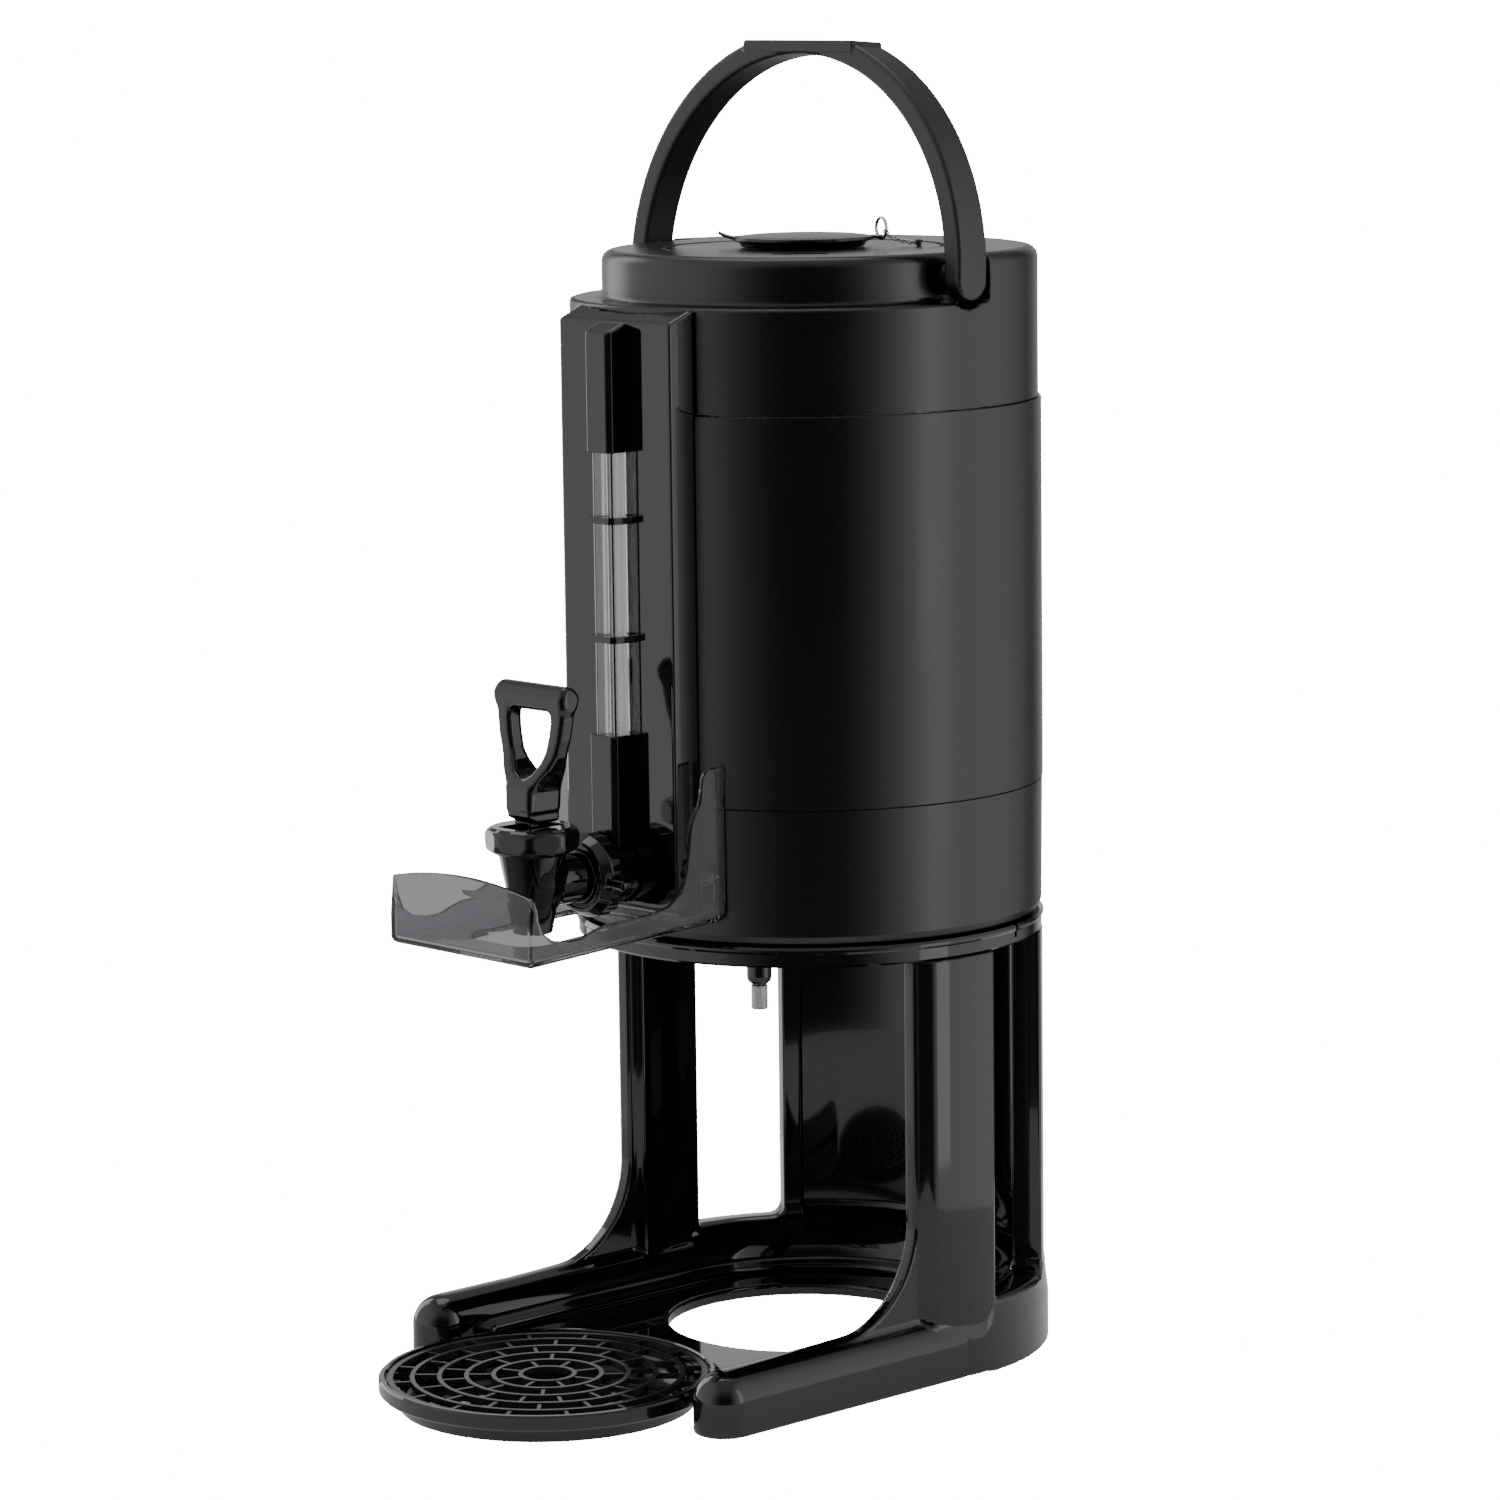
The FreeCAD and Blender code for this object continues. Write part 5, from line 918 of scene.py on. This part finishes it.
def knob_field(x, y, z):
    east = x - KNOB_REACH * math.cos(KNOB_TURN)
    north = y - KNOB_REACH * math.sin(KNOB_TURN)
    radius, angle = np.hypot(east, north), np.arctan2(north, east)
    cut = CUT_DEPTH * (np.abs(np.sin(CUT_COUNT * angle + z * CUT_TWIST))
                       + np.abs(np.sin(CUT_COUNT * angle - z * CUT_TWIST)))
    knob = common(radius - KNOB_RADIUS - cut, slab(z, KNOB_LOW, KNOB_TOP), 0.7)
    stem = common(radius - STEM_RADIUS, slab(z, STEM_LOW, STEM_TOP), 0.3)
    return np.minimum(knob, stem)


moulded("plunger_knob", "plunger", "steel", knob_field, (44, -81, 160.8),
        (53.5, -72, 192.0), 0.3, ("plunger_pin",))


# ---------------------------------------------------------------- floor, light and camera
# From here on, lengths are in metres unless at() is used.
CENTRE = at(0, 0, 280)
TO_CAMERA = Vector((0.7185, -0.6955, 0))            # level, from the object to the camera
RIGHTWARDS = Vector((0.6955, 0.7185, 0))            # level, to the right of the view


def around(angle):
    """Level direction at an angle from the camera's side, positive to the right."""
    turn = math.radians(angle)
    return TO_CAMERA * math.cos(turn) + RIGHTWARDS * math.sin(turn)


def stage_mesh(name, points, faces, material):
    mesh = bpy.data.meshes.new(name)
    mesh.from_pydata(points, [], faces)
    mesh.materials.append(material)
    thing = bpy.data.objects.new(name, mesh)
    bpy.context.scene.collection.objects.link(thing)
    return thing


def glow(name, grey, strength):
    """A matt surface that also gives off white light."""
    material, tree, shader = new_material(name)
    shader.inputs["Base Color"].default_value = (grey, grey, grey, 1)
    shader.inputs["Roughness"].default_value = 0.9
    shader.inputs["Emission Color"].default_value = WHITE
    shader.inputs["Emission Strength"].default_value = strength
    return material


# The floor that is seen is overexposed, as in a studio, and its twin is what the object
# reflects. The world behind them is as bright as the floor, and shows as the background.
FLOOR_HALF, FLOOR_GREY, FLOOR_GLOW, FLOOR_DROP = 4.9, 0.60, 17.0, 0.0004
TWIN_RADIUS, TWIN_SIDES, TWIN_GREY, TWIN_GLOW, TWIN_DROP = 0.42, 64, 0.62, 0.32, 0.0008
BACKGROUND = 17.2


def build_floor():
    corners = [(FLOOR_HALF * x, FLOOR_HALF * y, -FLOOR_DROP)
               for x, y in ((-1, -1), (1, -1), (1, 1), (-1, 1))]
    floor = stage_mesh("floor", corners, [(0, 1, 2, 3)],
                       glow("pale_floor", FLOOR_GREY, FLOOR_GLOW))
    floor.visible_glossy = False
    floor.visible_diffuse = False
    floor.visible_transmission = False
    turns = [math.tau * number / TWIN_SIDES for number in range(TWIN_SIDES)]
    disc = [(TWIN_RADIUS * math.cos(turn), TWIN_RADIUS * math.sin(turn), -TWIN_DROP)
            for turn in turns]
    twin = stage_mesh("floor_twin", disc, [tuple(range(TWIN_SIDES))],
                      glow("pale_floor_twin", TWIN_GREY, TWIN_GLOW))
    twin.visible_camera = False
    twin.visible_shadow = False


# The dome is what the object reflects all round: bright at the sides, overhead and behind,
# with a dark bay towards the camera.
DOME_RADIUS, DOME_RINGS, DOME_SPOKES = 5.0, 20, 48
DOME_FROM, DOME_SPAN = -50, 140                     # degrees above the horizon


def dome_mesh():
    """Points and faces of the dome, ring by ring from its foot."""
    points, faces = [], []
    for ring in range(DOME_RINGS + 1):
        tilt = math.radians(DOME_FROM + DOME_SPAN * ring / DOME_RINGS)
        for spoke in range(DOME_SPOKES):
            turn = math.tau * spoke / DOME_SPOKES
            points.append((DOME_RADIUS * math.cos(tilt) * math.cos(turn),
                           DOME_RADIUS * math.cos(tilt) * math.sin(turn),
                           DOME_RADIUS * math.sin(tilt)))
    for ring in range(DOME_RINGS):
        for spoke in range(DOME_SPOKES):
            after = (spoke + 1) % DOME_SPOKES
            faces.append((ring * DOME_SPOKES + spoke, ring * DOME_SPOKES + after,
                          (ring + 1) * DOME_SPOKES + after, (ring + 1) * DOME_SPOKES + spoke))
    return points, faces


def lobe(tree, place, direction, low, high, dim, bright):
    """Brightness that goes from dim to bright as a point nears the direction.

    low and high are the cosines between which it changes.
    """
    dot = add(tree, "ShaderNodeVectorMath", operation="DOT_PRODUCT")
    dot.inputs[1].default_value = direction / DOME_RADIUS
    tree.links.new(place, dot.inputs[0])
    return spread(tree, dot.outputs["Value"], dim, bright, low, high)


def combine(tree, operation, one, other):
    """One value times or plus another."""
    node = add(tree, "ShaderNodeMath", operation=operation)
    tree.links.new(one, node.inputs[0])
    tree.links.new(other, node.inputs[1])
    return node.outputs["Value"]


def build_dome():
    material = glow("studio_dome", 0, 1.0)
    tree = material.node_tree
    place = add(tree, "ShaderNodeTexCoord").outputs["Object"]
    left = lobe(tree, place, around(-80), 0.32, 0.97, 0.02, 0.90)
    right = lobe(tree, place, around(80), 0.50, 0.97, 0.0, 1.0)
    crown = lobe(tree, place, Vector((0, 0, 1)), 0.35, 0.9, 0.0, 0.40)
    bay = lobe(tree, place, around(-1), 0.70, 0.985, 1.0, 0.06)
    behind = lobe(tree, place, around(180), 0.80, 0.97, 0.0, 0.65)
    lit = combine(tree, "ADD", combine(tree, "ADD", left, right),
                  combine(tree, "ADD", crown, behind))
    strength = tree.nodes["Principled BSDF"].inputs["Emission Strength"]
    tree.links.new(combine(tree, "MULTIPLY", bay, lit), strength)
    points, faces = dome_mesh()
    dome = stage_mesh("studio_dome", points, faces, material)
    dome.visible_camera = False
    dome.visible_shadow = False


def build_world():
    world = bpy.data.worlds.new("studio")
    world.use_nodes = True
    background = world.node_tree.nodes["Background"]
    background.inputs["Color"].default_value = WHITE
    background.inputs["Strength"].default_value = BACKGROUND
    bpy.context.scene.world = world


def softbox(name, angle, height, away, width, tall, radiance):
    """An area light at an angle round from the camera; it aims at the object and isn't seen."""
    light = bpy.data.lights.new(name, "AREA")
    light.shape = "RECTANGLE"
    light.size, light.size_y = width, tall
    light.energy = radiance * math.pi * width * tall
    lamp = bpy.data.objects.new(name, light)
    bpy.context.scene.collection.objects.link(lamp)
    lamp.location = CENTRE + around(angle) * away + Vector((0, 0, height))
    lamp.rotation_euler = (CENTRE - lamp.location).to_track_quat("-Z", "Y").to_euler()
    lamp.visible_camera = False
    lamp.visible_transmission = False


LENS, SENSOR = 127.82, 36.0                         # mm
CAMERA_PLACE = at(1624.7, -1555.6, 594.5)
CAMERA_LOOK = Vector((-0.7218, 0.6759, -0.1487)).normalized()
CAMERA_ROLL = math.radians(-0.723)


def build_camera():
    """The camera at the photograph's angle."""
    data = bpy.data.cameras.new("camera")
    data.lens = LENS
    data.sensor_width = SENSOR
    data.clip_end = 50
    camera = bpy.data.objects.new("camera", data)
    bpy.context.scene.collection.objects.link(camera)
    level = CAMERA_LOOK.cross(Vector((0, 0, 1))).normalized()
    upright = level.cross(CAMERA_LOOK)
    side = level * math.cos(CAMERA_ROLL) + upright * math.sin(CAMERA_ROLL)
    up = upright * math.cos(CAMERA_ROLL) - level * math.sin(CAMERA_ROLL)
    pose = Matrix((side, up, -CAMERA_LOOK)).transposed().to_4x4()
    pose.translation = CAMERA_PLACE
    camera.matrix_world = pose
    bpy.context.scene.camera = camera


build_floor()
build_dome()
build_world()
softbox("left_softbox", -132, 0.25, 1.5, 0.7, 1.7, 1.6)
softbox("right_softbox", 62, 0.25, 1.7, 0.5, 1.7, 0.8)
softbox("top_softbox", -170, 1.8, 0.6, 1.2, 1.2, 1.2)
build_camera()
